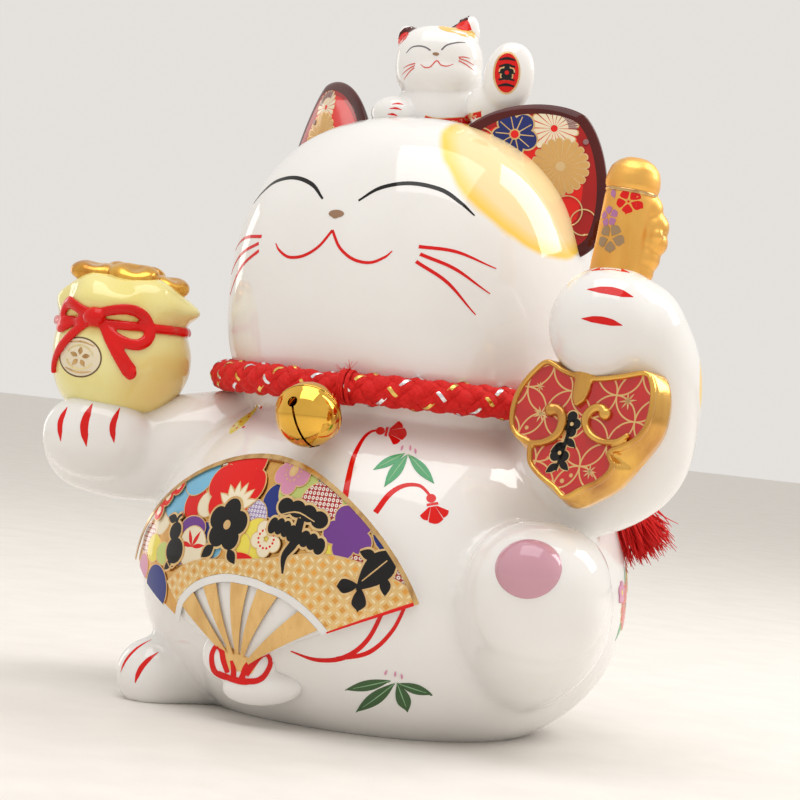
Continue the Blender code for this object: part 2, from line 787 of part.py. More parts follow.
def collar_whipping():
    ahead = on_collar(WHIPPING_AZIMUTH + 1) - on_collar(WHIPPING_AZIMUTH - 1)
    spot = on_collar(WHIPPING_AZIMUTH)
    return sleeve(CORD_RADIUS + GAP, CORD_RADIUS + 0.9, WHIPPING_LENGTH, spot, ahead)


def cup(upper):
    """Half of the bell's shell, with the slot across its mouth in the lower one and a lip at the seam."""
    outer, inner = BELL_RADIUS, BELL_RADIUS - BELL_WALL
    seam, lip, ledge = BELL_SEAM, outer + BELL_LIP, BELL_LIP_HEIGHT
    start, end = (90, 1.5) if upper else (-1.5, -90)
    angles = np.linspace(math.radians(start), math.radians(end), 8)
    outside = [(outer * math.cos(t), outer * math.sin(t)) for t in angles]
    inside = [(inner * math.cos(t), inner * math.sin(t)) for t in angles[::-1]]
    if upper:
        hole = BELL_WIRE + 0.35
        outside[0] = (hole, outside[0][1])
        inside[-1] = (hole, inside[-1][1])
        profile = outside + [(lip, ledge), (lip, seam), (inner, seam)] + inside[1:] + [outside[0]]
    else:
        outside[-1] = (0, -outer)
        inside[0] = (0, -inner)
        edge = [(inner, -seam), (lip, -seam), (lip, -ledge)]
        profile = [(0, -inner)] + inside[1:-1] + edge + outside[1:]
    return turned(profile, segments=22)


def bell_slot():
    """The slot across the mouth, as a cutter."""
    work = bmesh.new()
    bmesh.ops.create_cube(work, size=1)
    bmesh.ops.scale(work, vec=(BELL_RADIUS * 1.7, BELL_SLOT, 9), verts=work.verts)
    bmesh.ops.translate(work, vec=(0, 0, -BELL_RADIUS + 1), verts=work.verts)
    return mesh_of([work])


def bell_slot_hole(side):
    """The drill for the round hole at one end of the slot."""
    drop = math.radians(BELL_SLOT_END)
    drill = turned(((0, 4), (BELL_SLOT_HOLE, 4), (BELL_SLOT_HOLE, -4), (0, -4)), segments=16)
    spot = Vector((side * BELL_RADIUS * math.cos(drop), 0, -BELL_RADIUS * math.sin(drop)))
    drill.transform(Matrix.Translation(spot) @ Matrix.Rotation(side * (math.radians(90) + drop), 4, "Y"))
    return drill


def bell_lower():
    """The lower cup with its slot and the slot's round ends."""
    shell = combined(cup(False), bell_slot())
    for side in (-1, 1):
        shell = combined(shell, bell_slot_hole(side))
    return largest_body(shell)


def bell_pellet():
    """The steel ball, at rest on the lowest inside of the bell."""
    drop = BELL_RADIUS - BELL_WALL - BELL_PELLET_RADIUS - GAP
    centre = bell_matrix().translation - Vector((0, 0, drop))
    return mesh_of([ball(centre, (BELL_PELLET_RADIUS,) * 3, segments=14, rings=8)])


def bell_eyelet():
    """A wire loop with a stem that is headed over inside the upper cup."""
    middle = BELL_RADIUS + BELL_EYE_REACH
    ring = [Vector((0, BELL_EYE_RADIUS * math.cos(t), middle + BELL_EYE_RADIUS * math.sin(t)))
            for t in np.linspace(0, math.tau, 16, endpoint=False)]
    root = BELL_RADIUS + 1.2
    inside = BELL_RADIUS - BELL_WALL
    stem = turned(
        ((0, root), (BELL_WIRE, root), (BELL_WIRE, inside - 0.4), (1.8, inside - 0.5), (1.8, inside - 1.2),
         (0, inside - 1.3)),
        segments=16,
    )
    return combined(rod(ring, BELL_WIRE, closed=True), stem, "UNION")


# ---------------------------------------------------------------- cord ends


def over_body(tree, azimuth, height, lift):
    """The point over the body at that azimuth and height, standing off its real surface by lift."""
    turn = math.radians(azimuth)
    outward = Vector((math.sin(turn), -math.cos(turn), 0))
    spot, normal, _, _ = tree.ray_cast(outward * 200 + Vector((0, 0, height)), -outward)
    return spot + normal * lift


def cord_end_points(side, tree):
    """The cord's middle from the knot to its whipping, and the tip of the tassel beyond."""
    stations = [over_body(tree, *station) for station in CORD_ENDS[side]]
    count = 40
    points = curved_path(stations, count)
    last = round(count * (len(stations) - 2) / (len(stations) - 1))
    return [Vector(point) for point in points[:last]], stations[-1]


def cord_end(side, points, material):
    """The free end of the collar cord beyond the knot, as a curve."""
    curve = bpy.data.curves.new("cord_end_" + side, "CURVE")
    curve.dimensions = "3D"
    curve.bevel_depth = CORD_END_RADIUS * MM
    curve.bevel_resolution = 2
    curve.use_fill_caps = True
    kept = points[::2] if len(points) % 2 else points[1::2]
    add_outline(curve, [(point + FRAME_SHIFT) * MM for point in kept], closed=False)
    curve.materials.append(material)
    obj = bpy.data.objects.new("cord_end_" + side, curve)
    part_collection.objects.link(obj)


def end_whipping(points):
    spot = points[-1].lerp(points[-4], 0.75)
    ahead = points[-1] - points[-4]
    return sleeve(CORD_END_RADIUS + 2 * GAP, CORD_END_RADIUS + 4 * GAP, END_WHIPPING_LENGTH, spot, ahead)


def tassel(points, tip):
    """The frayed last stretch of the cord, as one soft cone that hangs clear of the torso."""
    hang = (tip - points[-1]).normalized()
    mesh = turned(TASSEL_PROFILE, segments=18)
    turn = (-hang).to_track_quat("Z", "Y").to_matrix().to_4x4()
    mesh.transform(Matrix.Translation(points[-1] + hang * 2 * GAP) @ turn)
    return mesh


# ---------------------------------------------------------------- stopper


def base_stopper():
    """The rubber plug of the drain hole, with a flange that sits in the countersink."""
    ledge = BASE_RECESS + STOPPER_COUNTERSINK - GAP
    top = BASE_RECESS + STOPPER_LENGTH
    return turned(
        (
            (0, top), (STOPPER_RADIUS - 2.4, top), (STOPPER_RADIUS - 0.8, top - 1.6),
            (STOPPER_RADIUS, top - 3.5),
            (STOPPER_RADIUS, ledge), (STOPPER_FLANGE, ledge), (STOPPER_FLANGE, BASE_RECESS + 0.2),
            (4.5, BASE_RECESS + 0.1), (3.6, 1.2), (0, 1.0),
        ),
        segments=28,
    )


part_collection = bpy.data.collections.new("lucky_cat")


def finishes():
    return {
        "white": make_material("white_glaze", (0.90, 0.88, 0.86), 0.08),
        "ear": make_material("red_ear_glaze", (0.62, 0.02, 0.02), 0.1),
        "cream": make_material("cream_glaze", (0.87, 0.80, 0.38), 0.1),
        "pink": make_material("pink_glaze", (0.60, 0.36, 0.42), 0.12),
        "gold": make_material("gold_lustre", (0.80, 0.50, 0.12), 0.16, 1.0),
        "fan": make_material("fan_enamel", (0.72, 0.42, 0.12), 0.15),
        "ribbon": make_material("red_enamel", (0.60, 0.01, 0.02), 0.12),
        "cord": make_material("red_cord", (0.62, 0.01, 0.02), 0.75),
        "brass": make_material("polished_brass", (0.84, 0.56, 0.20), 0.1, 1.0),
        "steel": make_material("steel", (0.55, 0.55, 0.56), 0.3, 1.0),
        "rubber": make_material("stopper_rubber", (0.75, 0.73, 0.68), 0.6),
    }


def place_bell(finish):
    """The bell hangs on its loop, and turns and swings about the loop's middle."""
    hung = bell_matrix()
    eyelet = bell_eyelet()
    eyelet.transform(hung @ Matrix.Rotation(math.radians(-BELL_SPIN), 4, "Z"))
    place("bell_eyelet", eyelet, finish["brass"], bell_eye_centre())
    for name, shell in (("bell_upper_cup", cup(True)), ("bell_lower_cup", bell_lower())):
        shell.transform(hung)
        place(name, shell, finish["brass"], hung.translation)
    place("bell_pellet", bell_pellet(), finish["steel"], hung.translation)


def place_cord_ends(outside, material):
    """The two ends of the collar cord, each whipped and frayed into a tassel."""
    corners = [vert.co.copy() for vert in outside.vertices]
    tree = BVHTree.FromPolygons(corners, [polygon.vertices for polygon in outside.polygons])
    for side in CORD_ENDS:
        points, tip = cord_end_points(side, tree)
        cord_end(side, points, material)
        place("end_whipping_" + side, end_whipping(points), material)
        place("tassel_" + side, tassel(points, tip), material)


def main():
    clear_scene()
    bpy.context.scene.collection.children.link(part_collection)
    finish = finishes()

    outside = body_outside()
    place("body_shell", body_shell(outside), finish["white"])

    ear_left = ear(EAR_LEFT, outside)
    arm_left = arm_raised(outside)
    arm_right = arm_lowered(outside)
    foot_left = foot_raised(outside)
    sole = combined(sole_form(), grown(foot_left))
    place("foot_left_raised", foot_left, finish["white"])
    place("sole_pad_left", largest_body(sole), finish["pink"])
    place("foot_right_resting", foot_resting(outside), finish["white"])
    place("tail", tail(outside), finish["white"])
    place("fan_relief", fan_relief(outside), finish["fan"])

    bag = money_bag(arm_right)
    coins = bag_coins(bag)
    place("bag_ribbon", bag_ribbon(bag), finish["ribbon"])
    place("bag_coins", coins, finish["gold"])
    place("money_bag", bag, finish["cream"])
    place("arm_right_lowered", arm_right, finish["white"])

    cloud = ruyi_head(arm_left, outside)
    place("ruyi_handle", ruyi_handle(arm_left, cloud, outside), finish["gold"])
    place("ruyi_head", cloud, finish["gold"])
    place("arm_left_raised", arm_left, finish["white"])

    small_cat = kitten(outside)
    place("kitten_arm_raised", kitten_arm(small_cat, outside, ear_left), finish["white"])
    place("kitten_body", small_cat, finish["white"])
    place("ear_left", ear_left, finish["ear"])
    place("ear_right", trimmed(mirrored(ear(EAR_RIGHT, outside)), outside), finish["ear"])

    place("collar_cord", collar_cord(), finish["cord"])
    place("collar_knot", trimmed(knot_form(), outside), finish["cord"])
    place("collar_whipping", trimmed(collar_whipping(), outside), finish["cord"])
    place("bell_thread", bell_thread(), finish["cord"], bell_eye_centre())
    place_bell(finish)
    place_cord_ends(outside, finish["cord"])
    place("base_stopper", base_stopper(), finish["rubber"])


main()
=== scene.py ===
"""The looks of the lucky cat: glazed castings, overglaze enamels, gold lustre, a braided collar and a brass bell.

Lengths are in millimetres in the cat's own frame, as in part.py: X to the cat's left, Y to its back, Z up.
CENTRE, read from the CAD's stopper, moves a shape into the row frame. An azimuth is in degrees round the body
from its front, positive towards the cat's left.
"""

import math

import bmesh
import bpy
import numpy as np
from mathutils import Matrix, Quaternion, Vector
from mathutils.bvhtree import BVHTree


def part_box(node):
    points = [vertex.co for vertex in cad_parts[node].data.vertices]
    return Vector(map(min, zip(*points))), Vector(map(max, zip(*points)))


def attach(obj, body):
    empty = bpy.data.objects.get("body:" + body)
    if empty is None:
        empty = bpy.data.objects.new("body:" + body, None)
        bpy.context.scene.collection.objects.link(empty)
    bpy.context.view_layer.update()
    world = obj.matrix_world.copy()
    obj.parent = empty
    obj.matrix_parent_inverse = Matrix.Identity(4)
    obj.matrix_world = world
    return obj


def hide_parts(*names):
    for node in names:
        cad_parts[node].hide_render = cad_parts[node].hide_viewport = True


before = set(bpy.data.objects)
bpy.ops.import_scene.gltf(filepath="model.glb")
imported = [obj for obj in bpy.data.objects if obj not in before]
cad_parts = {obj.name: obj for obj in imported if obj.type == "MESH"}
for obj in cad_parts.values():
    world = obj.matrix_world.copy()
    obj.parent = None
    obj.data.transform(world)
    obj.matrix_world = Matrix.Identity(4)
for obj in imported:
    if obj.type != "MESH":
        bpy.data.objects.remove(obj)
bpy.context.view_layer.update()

MM = 0.001
CAT = "cat"


def node_middle(node):
    low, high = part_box(node)
    return (low + high) / 2 / MM


CENTRE = node_middle("base_stopper")
CENTRE.z = 0.0


def aim(azimuth, elevation=0.0):
    """The unit vector towards an azimuth and an elevation."""
    turn, rise = math.radians(azimuth), math.radians(elevation)
    return Vector((math.sin(turn) * math.cos(rise), -math.cos(turn) * math.cos(rise), math.sin(rise)))


def linked(obj):
    bpy.context.scene.collection.objects.link(obj)
    return obj


# ---------------------------------------------------------------- view, floor and light

VIEW_AZIMUTH = 32.1
VIEW_ELEVATION = 0.25
VIEW_ROLL = 5.8
VIEW_DISTANCE = 820.0
VIEW_LENS = 110.7
VIEW_MIDDLE = Vector((0, 0, 105.3))
VIEW_SHIFT = 0.9  # the view's middle lies this far to its left of the cat's axis
LAMP_MIDDLE = Vector((0, 0, 110))
LAMP_DISTANCE = 1000
LAMPS = (  # name, azimuth, elevation, size in metres, watts, colour
    ("key", 136, 40, (0.40, 0.75), 4.6, (1, 0.98, 0.95)),
    ("window", -100, 2, (0.20, 0.6), 0.6, (1, 0.97, 0.93)),
    ("top", 15, 74, (0.8, 0.8), 4.2, (1, 1, 1)),
)
SKY = (0.93, 0.90, 0.86, 1)
SKY_STRENGTH = 0.84
FLOOR_HALF = 4  # metres


def look_at(obj, place, target, roll=0.0):
    facing = (target - place).to_track_quat("-Z", "Y")
    obj.rotation_mode = "QUATERNION"
    obj.rotation_quaternion = facing @ Quaternion((0, 0, 1), math.radians(roll))
    obj.location = place * MM


def add_camera():
    camera = linked(bpy.data.objects.new("camera", bpy.data.cameras.new("camera")))
    camera.data.sensor_width = 36.0
    camera.data.lens = VIEW_LENS
    camera.data.clip_start = 0.01
    target = VIEW_MIDDLE - VIEW_SHIFT * aim(VIEW_AZIMUTH + 90) + CENTRE
    look_at(camera, target + aim(VIEW_AZIMUTH, VIEW_ELEVATION) * VIEW_DISTANCE, target, VIEW_ROLL)
    bpy.context.scene.camera = camera


def add_softbox(name, azimuth, elevation, size, power, colour):
    lamp = bpy.data.lights.new(name, "AREA")
    lamp.shape = "RECTANGLE"
    lamp.size, lamp.size_y = size
    lamp.energy = power
    lamp.color = colour
    target = LAMP_MIDDLE + CENTRE
    look_at(linked(bpy.data.objects.new(name, lamp)), target + aim(azimuth, elevation) * LAMP_DISTANCE, target)


def add_studio():
    world = bpy.data.worlds.new("studio")
    bpy.context.scene.world = world
    world.use_nodes = True
    background = world.node_tree.nodes["Background"]
    background.inputs["Color"].default_value = SKY
    background.inputs["Strength"].default_value = SKY_STRENGTH
    for lamp in LAMPS:
        add_softbox(*lamp)
    floor = linked(bpy.data.objects.new("floor", bpy.data.meshes.new("floor")))
    corners = [(x * FLOOR_HALF, y * FLOOR_HALF, 0) for x, y in ((-1, -1), (1, -1), (1, 1), (-1, 1))]
    floor.data.from_pydata(corners, [], [(0, 1, 2, 3)])
    floor.data.materials.append(glaze("floor_paper", (0.80, 0.77, 0.73), 0.75, deeper=(0.76, 0.73, 0.69), coat=0.0))


# ---------------------------------------------------------------- materials


class Nodes:
    """Adds nodes to a material and links them, each call returning an output socket."""

    def __init__(self, name):
        self.material = bpy.data.materials.new(name)
        self.material.use_nodes = True
        self.tree = self.material.node_tree
        self.shader = self.tree.nodes["Principled BSDF"]

    def add(self, kind, output=0, settings=None, **values):
        node = self.tree.nodes.new(kind)
        for key, value in (settings or {}).items():
            setattr(node, key, value)
        for key, value in values.items():
            self.feed(node.inputs[int(key[1:]) if key[0] == "i" and key[1:].isdigit() else key], value)
        return node.outputs[output]

    def feed(self, socket, value):
        if isinstance(value, bpy.types.NodeSocket):
            self.tree.links.new(value, socket)
        elif isinstance(value, tuple) and len(value) == 3 and len(socket.default_value) == 4:
            socket.default_value = (*value, 1)
        else:
            socket.default_value = value

    def math(self, operation, a, b=0.0):
        return self.add("ShaderNodeMath", settings=dict(operation=operation), i0=a, i1=b, i2=0.0)

    def vector(self, operation, a, b=(0, 0, 0)):
        output = "Value" if operation in ("LENGTH", "DISTANCE", "DOT_PRODUCT") else 0
        return self.add("ShaderNodeVectorMath", output, dict(operation=operation), i0=a, i1=b)

    def place(self, kind="Object"):
        return self.add("ShaderNodeTexCoord", kind)

    def noise(self, scale, detail=2.0, where=None, roughness=0.5):
        return self.add("ShaderNodeTexNoise", "Fac", Vector=where or self.place(), Scale=scale, Detail=detail,
                        Roughness=roughness)

    def ramp(self, value, low, high, out_low=0.0, out_high=1.0):
        return self.add("ShaderNodeMapRange", i0=value, i1=low, i2=high, i3=out_low, i4=out_high)

    def mix(self, factor, a, b):
        return self.add("ShaderNodeMix", 2, dict(data_type="RGBA"), i0=factor, i6=a, i7=b)

    def bump(self, height, strength, distance):
        normal = self.add("ShaderNodeBump", Height=height, Strength=strength, Distance=distance)
        self.feed(self.shader.inputs["Normal"], normal)

    def finish(self, **values):
        for key, value in values.items():
            self.feed(self.shader.inputs[key.replace("_", " ")], value)
        return self.material


def glaze(name, rgb, roughness=0.07, deeper=None, coat=0.35, soft=0.0, patches=()):
    """Fired glaze or enamel: the colour pools unevenly, and the skin ripples like orange peel.

    patches are areas of another colour, each (colour, centre, radii, softness, heart) in the cat's frame. Across
    heart, a range of reaches from the centre, a paler middle turns into the patch's own colour. That paler middle
    is a painted highlight: glare on the glaze painted into the patch.
    """
    deeper = deeper or tuple(0.86 * value for value in rgb)
    n = Nodes(name)
    pooled = n.ramp(n.noise(38, 3), 0.35, 0.75)
    colour = n.mix(pooled, rgb, deeper)
    for tint, centre, radii, softness, heart in patches:
        offset = n.vector("SUBTRACT", n.place(), tuple((Vector(centre) + CENTRE) * MM))
        scaled = n.vector("DIVIDE", offset, tuple(value * MM for value in radii))
        reach = n.math("ADD", n.vector("LENGTH", scaled), n.ramp(n.noise(60, 2), 0, 1, -0.06, 0.06))
        inside = n.ramp(reach, 1 - softness, 1 + softness, 1, 0)
        # the paler middle is a painted highlight, the glare of a softbox on the glaze
        pale = tuple(0.62 * value + 0.32 for value in tint)
        colour = n.mix(inside, colour, n.mix(n.ramp(reach, *heart), pale, tint))
    peel = n.math("ADD", n.noise(260, 1), n.math("MULTIPLY", n.noise(1500, 2), 0.25))
    n.bump(peel, 0.12 if coat else 0.3, 0.00006)
    return n.finish(
        Base_Color=colour,
        Roughness=n.ramp(n.noise(90, 2), 0.3, 0.7, 0.8 * roughness, 1.3 * roughness),
        Coat_Weight=coat, Coat_Roughness=0.03, Specular_IOR_Level=0.5 if coat > 0.2 else 0.26,
        Subsurface_Weight=soft, Subsurface_Scale=0.002, Subsurface_Radius=(1.0, 0.8, 0.6),
    )


def lustre(name, rgb, deeper, roughness=0.16, streaks=60):
    """Gold lustre brushed over glaze: it thins to orange-brown along the brush strokes."""
    n = Nodes(name)
    stretched = n.vector("MULTIPLY", n.place(), (1.0, 1.0, 0.35))
    thin = n.ramp(n.noise(streaks, 4, stretched), 0.42, 0.72)
    n.bump(n.noise(900, 3), 0.2, 0.00004)
    return n.finish(
        Base_Color=n.mix(thin, rgb, deeper),
        Metallic=n.ramp(thin, 0, 1, 1.0, 0.75),
        Roughness=n.ramp(n.noise(140, 3), 0.3, 0.7, 0.75 * roughness, 1.6 * roughness),
        Coat_Weight=0.3, Coat_Roughness=0.04,
    )


def metal(name, rgb, roughness):
    n = Nodes(name)
    n.bump(n.noise(2600, 2), 0.08, 0.00003)
    scratched = n.ramp(n.noise(700, 4), 0.35, 0.75, 0.7 * roughness, 1.7 * roughness)
    colour = n.mix(n.ramp(n.noise(120, 3), 0.4, 0.8), rgb, tuple(0.8 * value for value in rgb))
    return n.finish(Base_Color=colour, Metallic=1.0, Roughness=scratched)


def yarn(name, rgb):
    """Twisted polyester floss: fine filaments along each strand, which the UVs follow in millimetres."""
    n = Nodes(name)
    uv = n.place("UV")
    filaments = n.noise(2.2, 4, n.vector("MULTIPLY", uv, (0.55, 3.6, 1)), 0.6)
    slubs = n.noise(0.7, 2, uv)
    colour = n.mix(n.ramp(filaments, 0.3, 0.7), tuple(0.62 * value for value in rgb), rgb)
    colour = n.mix(n.ramp(slubs, 0.4, 0.8, 0, 0.5), colour, tuple(min(1, 1.25 * value + 0.02) for value in rgb))
    n.bump(filaments, 0.7, 0.00035)
    return n.finish(Base_Color=colour, Roughness=0.62, Sheen_Weight=0.15, Sheen_Roughness=0.4,
                    Sheen_Tint=(1, 0.2, 0.15), Specular_IOR_Level=0.25)


def shippo(name, ground, line, cell, width, petal=None):
    """Interlocking circles drawn from the UVs in millimetres, with petals in them or else pearls between them."""
    n = Nodes(name)
    uv = n.vector("SCALE", n.place("UV"))
    uv.node.inputs["Scale"].default_value = 1 / cell
    rings, reaches = [], []
    for shift in (0.0, 0.5):
        tile = n.vector("FRACTION", n.vector("ADD", uv, (shift, shift, 0)))
        flat = n.vector("MULTIPLY", n.vector("SUBTRACT", tile, (0.5, 0.5, 0)), (1, 1, 0))
        away = n.vector("LENGTH", flat)
        edge = n.math("ABSOLUTE", n.math("SUBTRACT", away, 0.5))
        rings.append(n.ramp(edge, 0.5 * width / cell, 0.8 * width / cell, 1, 0))
        reaches.append(away)
    drawn, near = n.math("MAXIMUM", *rings), n.math("MAXIMUM", *reaches)
    colour = n.mix(n.ramp(n.noise(70, 2), 0.35, 0.7), ground, tuple(0.78 * value for value in ground))
    if petal:
        colour = n.mix(n.ramp(near, 0.40, 0.44, 1, 0), colour, petal)
    else:
        pearls = n.add("ShaderNodeTexVoronoi", "Distance", Vector=n.vector("MULTIPLY", uv, (1, 1, 0)), Scale=2.9)
        dots = n.math("MULTIPLY", n.ramp(pearls, 0.10, 0.16, 1, 0), n.ramp(near, 0.46, 0.50, 1, 0))
        drawn = n.math("MAXIMUM", drawn, dots)
    n.bump(drawn, 0.35, 0.0001)
    return n.finish(Base_Color=n.mix(drawn, colour, line), Metallic=n.math("MULTIPLY", drawn, 0.6),
                    Roughness=n.ramp(drawn, 0, 1, 0.07, 0.2), Coat_Weight=0.5, Coat_Roughness=0.03)


def spotted(name, ground, dot, spacing):
    """Tie-dye dots in rows, each with a dark eye, drawn from the UVs in millimetres."""
    n = Nodes(name)
    uv = n.vector("SCALE", n.place("UV"))
    uv.node.inputs["Scale"].default_value = 1 / spacing
    tile = n.vector("SUBTRACT", n.vector("FRACTION", uv), (0.5, 0.5, 0))
    away = n.vector("LENGTH", n.vector("MULTIPLY", tile, (1, 1, 0)))
    inside = n.math("MULTIPLY", n.ramp(away, 0.36, 0.42, 1, 0), n.ramp(away, 0.12, 0.18, 0, 1))
    colour = n.mix(inside, n.mix(n.noise(80, 2), ground, tuple(0.8 * value for value in ground)), dot)
    return n.finish(Base_Color=colour, Roughness=0.08, Coat_Weight=0.4, Coat_Roughness=0.03)


# ---------------------------------------------------------------- clay forms, as in part.py


def signed_power(value, exponent):
    return math.copysign(abs(value) ** exponent, value)


def ball(centre, radii, power=2.0, up=None, down=None, turn=(0, 0, 0), segments=48, rings=28):
    """A superellipsoid; up and down replace its vertical radius above and below the centre."""
    form = bmesh.new()
    bmesh.ops.create_uvsphere(form, u_segments=segments, v_segments=rings, radius=1)
    about_x, about_y, about_z = (Matrix.Rotation(math.radians(angle), 3, axis) for angle, axis in zip(turn, "XYZ"))
    rotation = about_z @ about_y @ about_x
    for vert in form.verts:
        x, y, z = vert.co
        flat = max(math.hypot(x, y), 1e-9)
        ring = flat ** (2 / power)
        half = (up if z > 0 else down) or radii[2]
        local = Vector((
            radii[0] * ring * signed_power(x / flat, 2 / power),
            radii[1] * ring * signed_power(y / flat, 2 / power),
            half * signed_power(z, 2 / power),
        ))
        vert.co = rotation @ local + Vector(centre)
    return form


def smooth_path(stations, count):
    """count points on a smooth curve through the stations."""
    points = np.array(stations, float)
    padded = np.vstack([2 * points[0] - points[1], points, 2 * points[-1] - points[-2]])
    spots = []
    for s in np.linspace(0, len(points) - 1 - 1e-6, count):
        i = int(s)
        t = s - i
        a, b, c, d = padded[i : i + 4]
        spots.append(0.5 * (2 * b + (c - a) * t + (2 * a - 5 * b + 4 * c - d) * t**2
                            + (3 * b - a - 3 * c + d) * t**3))
    return spots


def limb(stations):
    """Balls strung along (x, y, z, radius) stations, twelve to each gap."""
    return [ball(spot[:3], (spot[3],) * 3, segments=36, rings=20)
            for spot in smooth_path(stations, (len(stations) - 1) * 12 + 1)]


def mesh_of(forms):
    joined = bmesh.new()
    for form in forms:
        piece = bpy.data.meshes.new("piece")
        form.to_mesh(piece)
        joined.from_mesh(piece)
        form.free()
        bpy.data.meshes.remove(piece)
    mesh = bpy.data.meshes.new("form")
    joined.to_mesh(mesh)
    joined.free()
    return mesh


def form_of(mesh):
    form = bmesh.new()
    form.from_mesh(mesh)
    return form


def evaluated(mesh, setup):
    """The mesh after the modifiers that setup(object) adds."""
    holder = linked(bpy.data.objects.new("holder", mesh))
    setup(holder)
    bpy.context.view_layer.update()
    graph = bpy.context.evaluated_depsgraph_get()
    result = bpy.data.meshes.new_from_object(holder.evaluated_get(graph), depsgraph=graph)
    bpy.data.objects.remove(holder)
    return result


def fuse(forms, voxel, smooth):
    """Forms pressed into one skin, their meeting lines rounded."""

    def knead(holder):
        remesh = holder.modifiers.new("remesh", "REMESH")
        remesh.mode = "VOXEL"
        remesh.voxel_size = voxel
        relax = holder.modifiers.new("smooth", "SMOOTH")
        relax.factor = 0.5
        relax.iterations = smooth

    return evaluated(mesh_of(forms), knead)


def cut_below(mesh, height=0.0):
    """The mesh with everything under a height cut off and closed."""
    work = form_of(mesh)
    geometry = work.verts[:] + work.edges[:] + work.faces[:]
    bmesh.ops.bisect_plane(work, geom=geometry, plane_co=(0, 0, height), plane_no=(0, 0, 1), clear_inner=True)
    bmesh.ops.edgeloop_fill(work, edges=[edge for edge in work.edges if edge.is_boundary])
    bmesh.ops.recalc_face_normals(work, faces=work.faces)
    work.to_mesh(mesh)
    work.free()
    return mesh


def carved(mesh, tool):
    """The mesh with the tool's volume cut away."""
    cutter = linked(bpy.data.objects.new("cutter", tool))

    def apply(holder):
        boolean = holder.modifiers.new("boolean", "BOOLEAN")
        boolean.operation = "DIFFERENCE"
        boolean.object = cutter

    result = evaluated(mesh, apply)
    bpy.data.objects.remove(cutter)
    return result


def turned(profile, centre=(0, 0, 0), segments=96):
    """A lathe-turned solid from (radius, height) points, a ring if it ends where it starts."""
    outline = bmesh.new()
    closed = profile[0] == profile[-1]
    verts = [outline.verts.new((r, 0, z)) for r, z in (profile[:-1] if closed else profile)]
    for a, b in zip(verts, verts[1:] + verts[:1] if closed else verts[1:]):
        outline.edges.new((a, b))

    def spin(holder):
        screw = holder.modifiers.new("screw", "SCREW")
        screw.steps = screw.render_steps = segments
        screw.use_merge_vertices = True
        screw.merge_threshold = 0.0001

    result = evaluated(mesh_of([outline]), spin)
    result.transform(Matrix.Translation(Vector(centre)))
    return result


def sweep(points, normals, half_width, half_thick, sides=8, closed=False):
    """A flattened strand along points, its flat side to the normals, with UVs in millimetres along and across."""
    points = np.array(points, float)
    normals = np.array(normals, float)
    if closed:
        tangents = np.roll(points, -1, 0) - np.roll(points, 1, 0)
    else:
        tangents = np.gradient(points, axis=0)
    tangents /= np.linalg.norm(tangents, axis=1)[:, None]
    normals -= (normals * tangents).sum(1)[:, None] * tangents
    normals /= np.linalg.norm(normals, axis=1)[:, None]
    across = np.cross(tangents, normals)
    width = np.broadcast_to(half_width, len(points))[:, None, None]
    thick = np.broadcast_to(half_thick, len(points))[:, None, None]
    angles = np.arange(sides) / sides * math.tau
    rings = points[:, None] + width * across[:, None] * np.cos(angles)[None, :, None]
    rings = rings + thick * normals[:, None] * np.sin(angles)[None, :, None]
    along = np.concatenate([[0], np.cumsum(np.linalg.norm(np.diff(points, axis=0), axis=1))])
    work = bmesh.new()
    uv = work.loops.layers.uv.new("UVMap")
    verts = [[work.verts.new(spot) for spot in ring] for ring in rings]
    round_mm = float(np.mean(half_width)) * math.tau / sides
    count = len(points)
    for i in range(count if closed else count - 1):
        for j in range(sides):
            a, b = verts[i], verts[(i + 1) % count]
            face = work.faces.new((a[j], a[(j + 1) % sides], b[(j + 1) % sides], b[j]))
            start, end = along[i], along[i + 1] if i + 1 < count else along[i] + along[1]
            for loop, where in zip(face.loops, ((start, j), (start, j + 1), (end, j + 1), (end, j))):
                loop[uv].uv = (where[0], where[1] * round_mm)
    if not closed:
        work.faces.new(verts[0][::-1])
        work.faces.new(verts[-1])
    bmesh.ops.recalc_face_normals(work, faces=work.faces)
    return work


def put(name, mesh, finish=(), replaced=(), body=CAT, sharp=180):
    """Turns a millimetre mesh of the cat's frame into a piece that rides on a body; finish names its materials."""
    mesh.transform(Matrix.Scale(MM, 4) @ Matrix.Translation(CENTRE))
    mesh.name = name
    for material in (finish,) if isinstance(finish, str) else finish:
        mesh.materials.append(MATERIALS[material])
    mesh.shade_smooth()
    mesh.set_sharp_from_angle(angle=math.radians(sharp))
    obj = linked(bpy.data.objects.new(name, mesh))
    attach(obj, body)
    if replaced:
        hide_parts(*replaced)
    return obj


def tree_of(*meshes):
    """A ray-casting tree over millimetre meshes."""
    corners, faces = [], []
    for mesh in meshes:
        start = len(corners)
        corners += [vert.co.copy() for vert in mesh.vertices]
        faces += [[start + index for index in polygon.vertices] for polygon in mesh.polygons]
    return BVHTree.FromPolygons(corners, faces)


# ---------------------------------------------------------------- the body's measures, as in part.py

WALL = 5.0
BASE_HOLLOW = 8.0  # the hollow's floor
TORSO = dict(centre=(0, 0, 44), radii=(80, 74), up=65.5, down=55.5, power=2.2)
HEAD = dict(centre=(0, -1, 134.5), radii=(60, 52.5), up=64.5, down=51, power=2.4)
COLLAR_HEIGHT = 107.8
COLLAR_RADII = (61.6, 55.8)
COLLAR_CENTRE_Y = 0.6
COLLAR_KNOT_AZIMUTH = 152.0
COLLAR_BRAID = 5.35
COLLAR_PITCH = 28.0
STRANDS = 4  # in each direction
WHIPPING_AZIMUTH = 12.5
BELL_AZIMUTH = 4.6
BELL_HANG = (0.0, -2.1, -2.5)
BELL_TWIST = 20.0
BELL_SPIN = 68.0
BELL_RADIUS = 10.2
BELL_WALL = 0.9
BELL_LEAN = 58.0
BELL_EYE_REACH = 3.1
BELL_EYE_RADIUS = 2.1
BELL_WIRE = 0.55
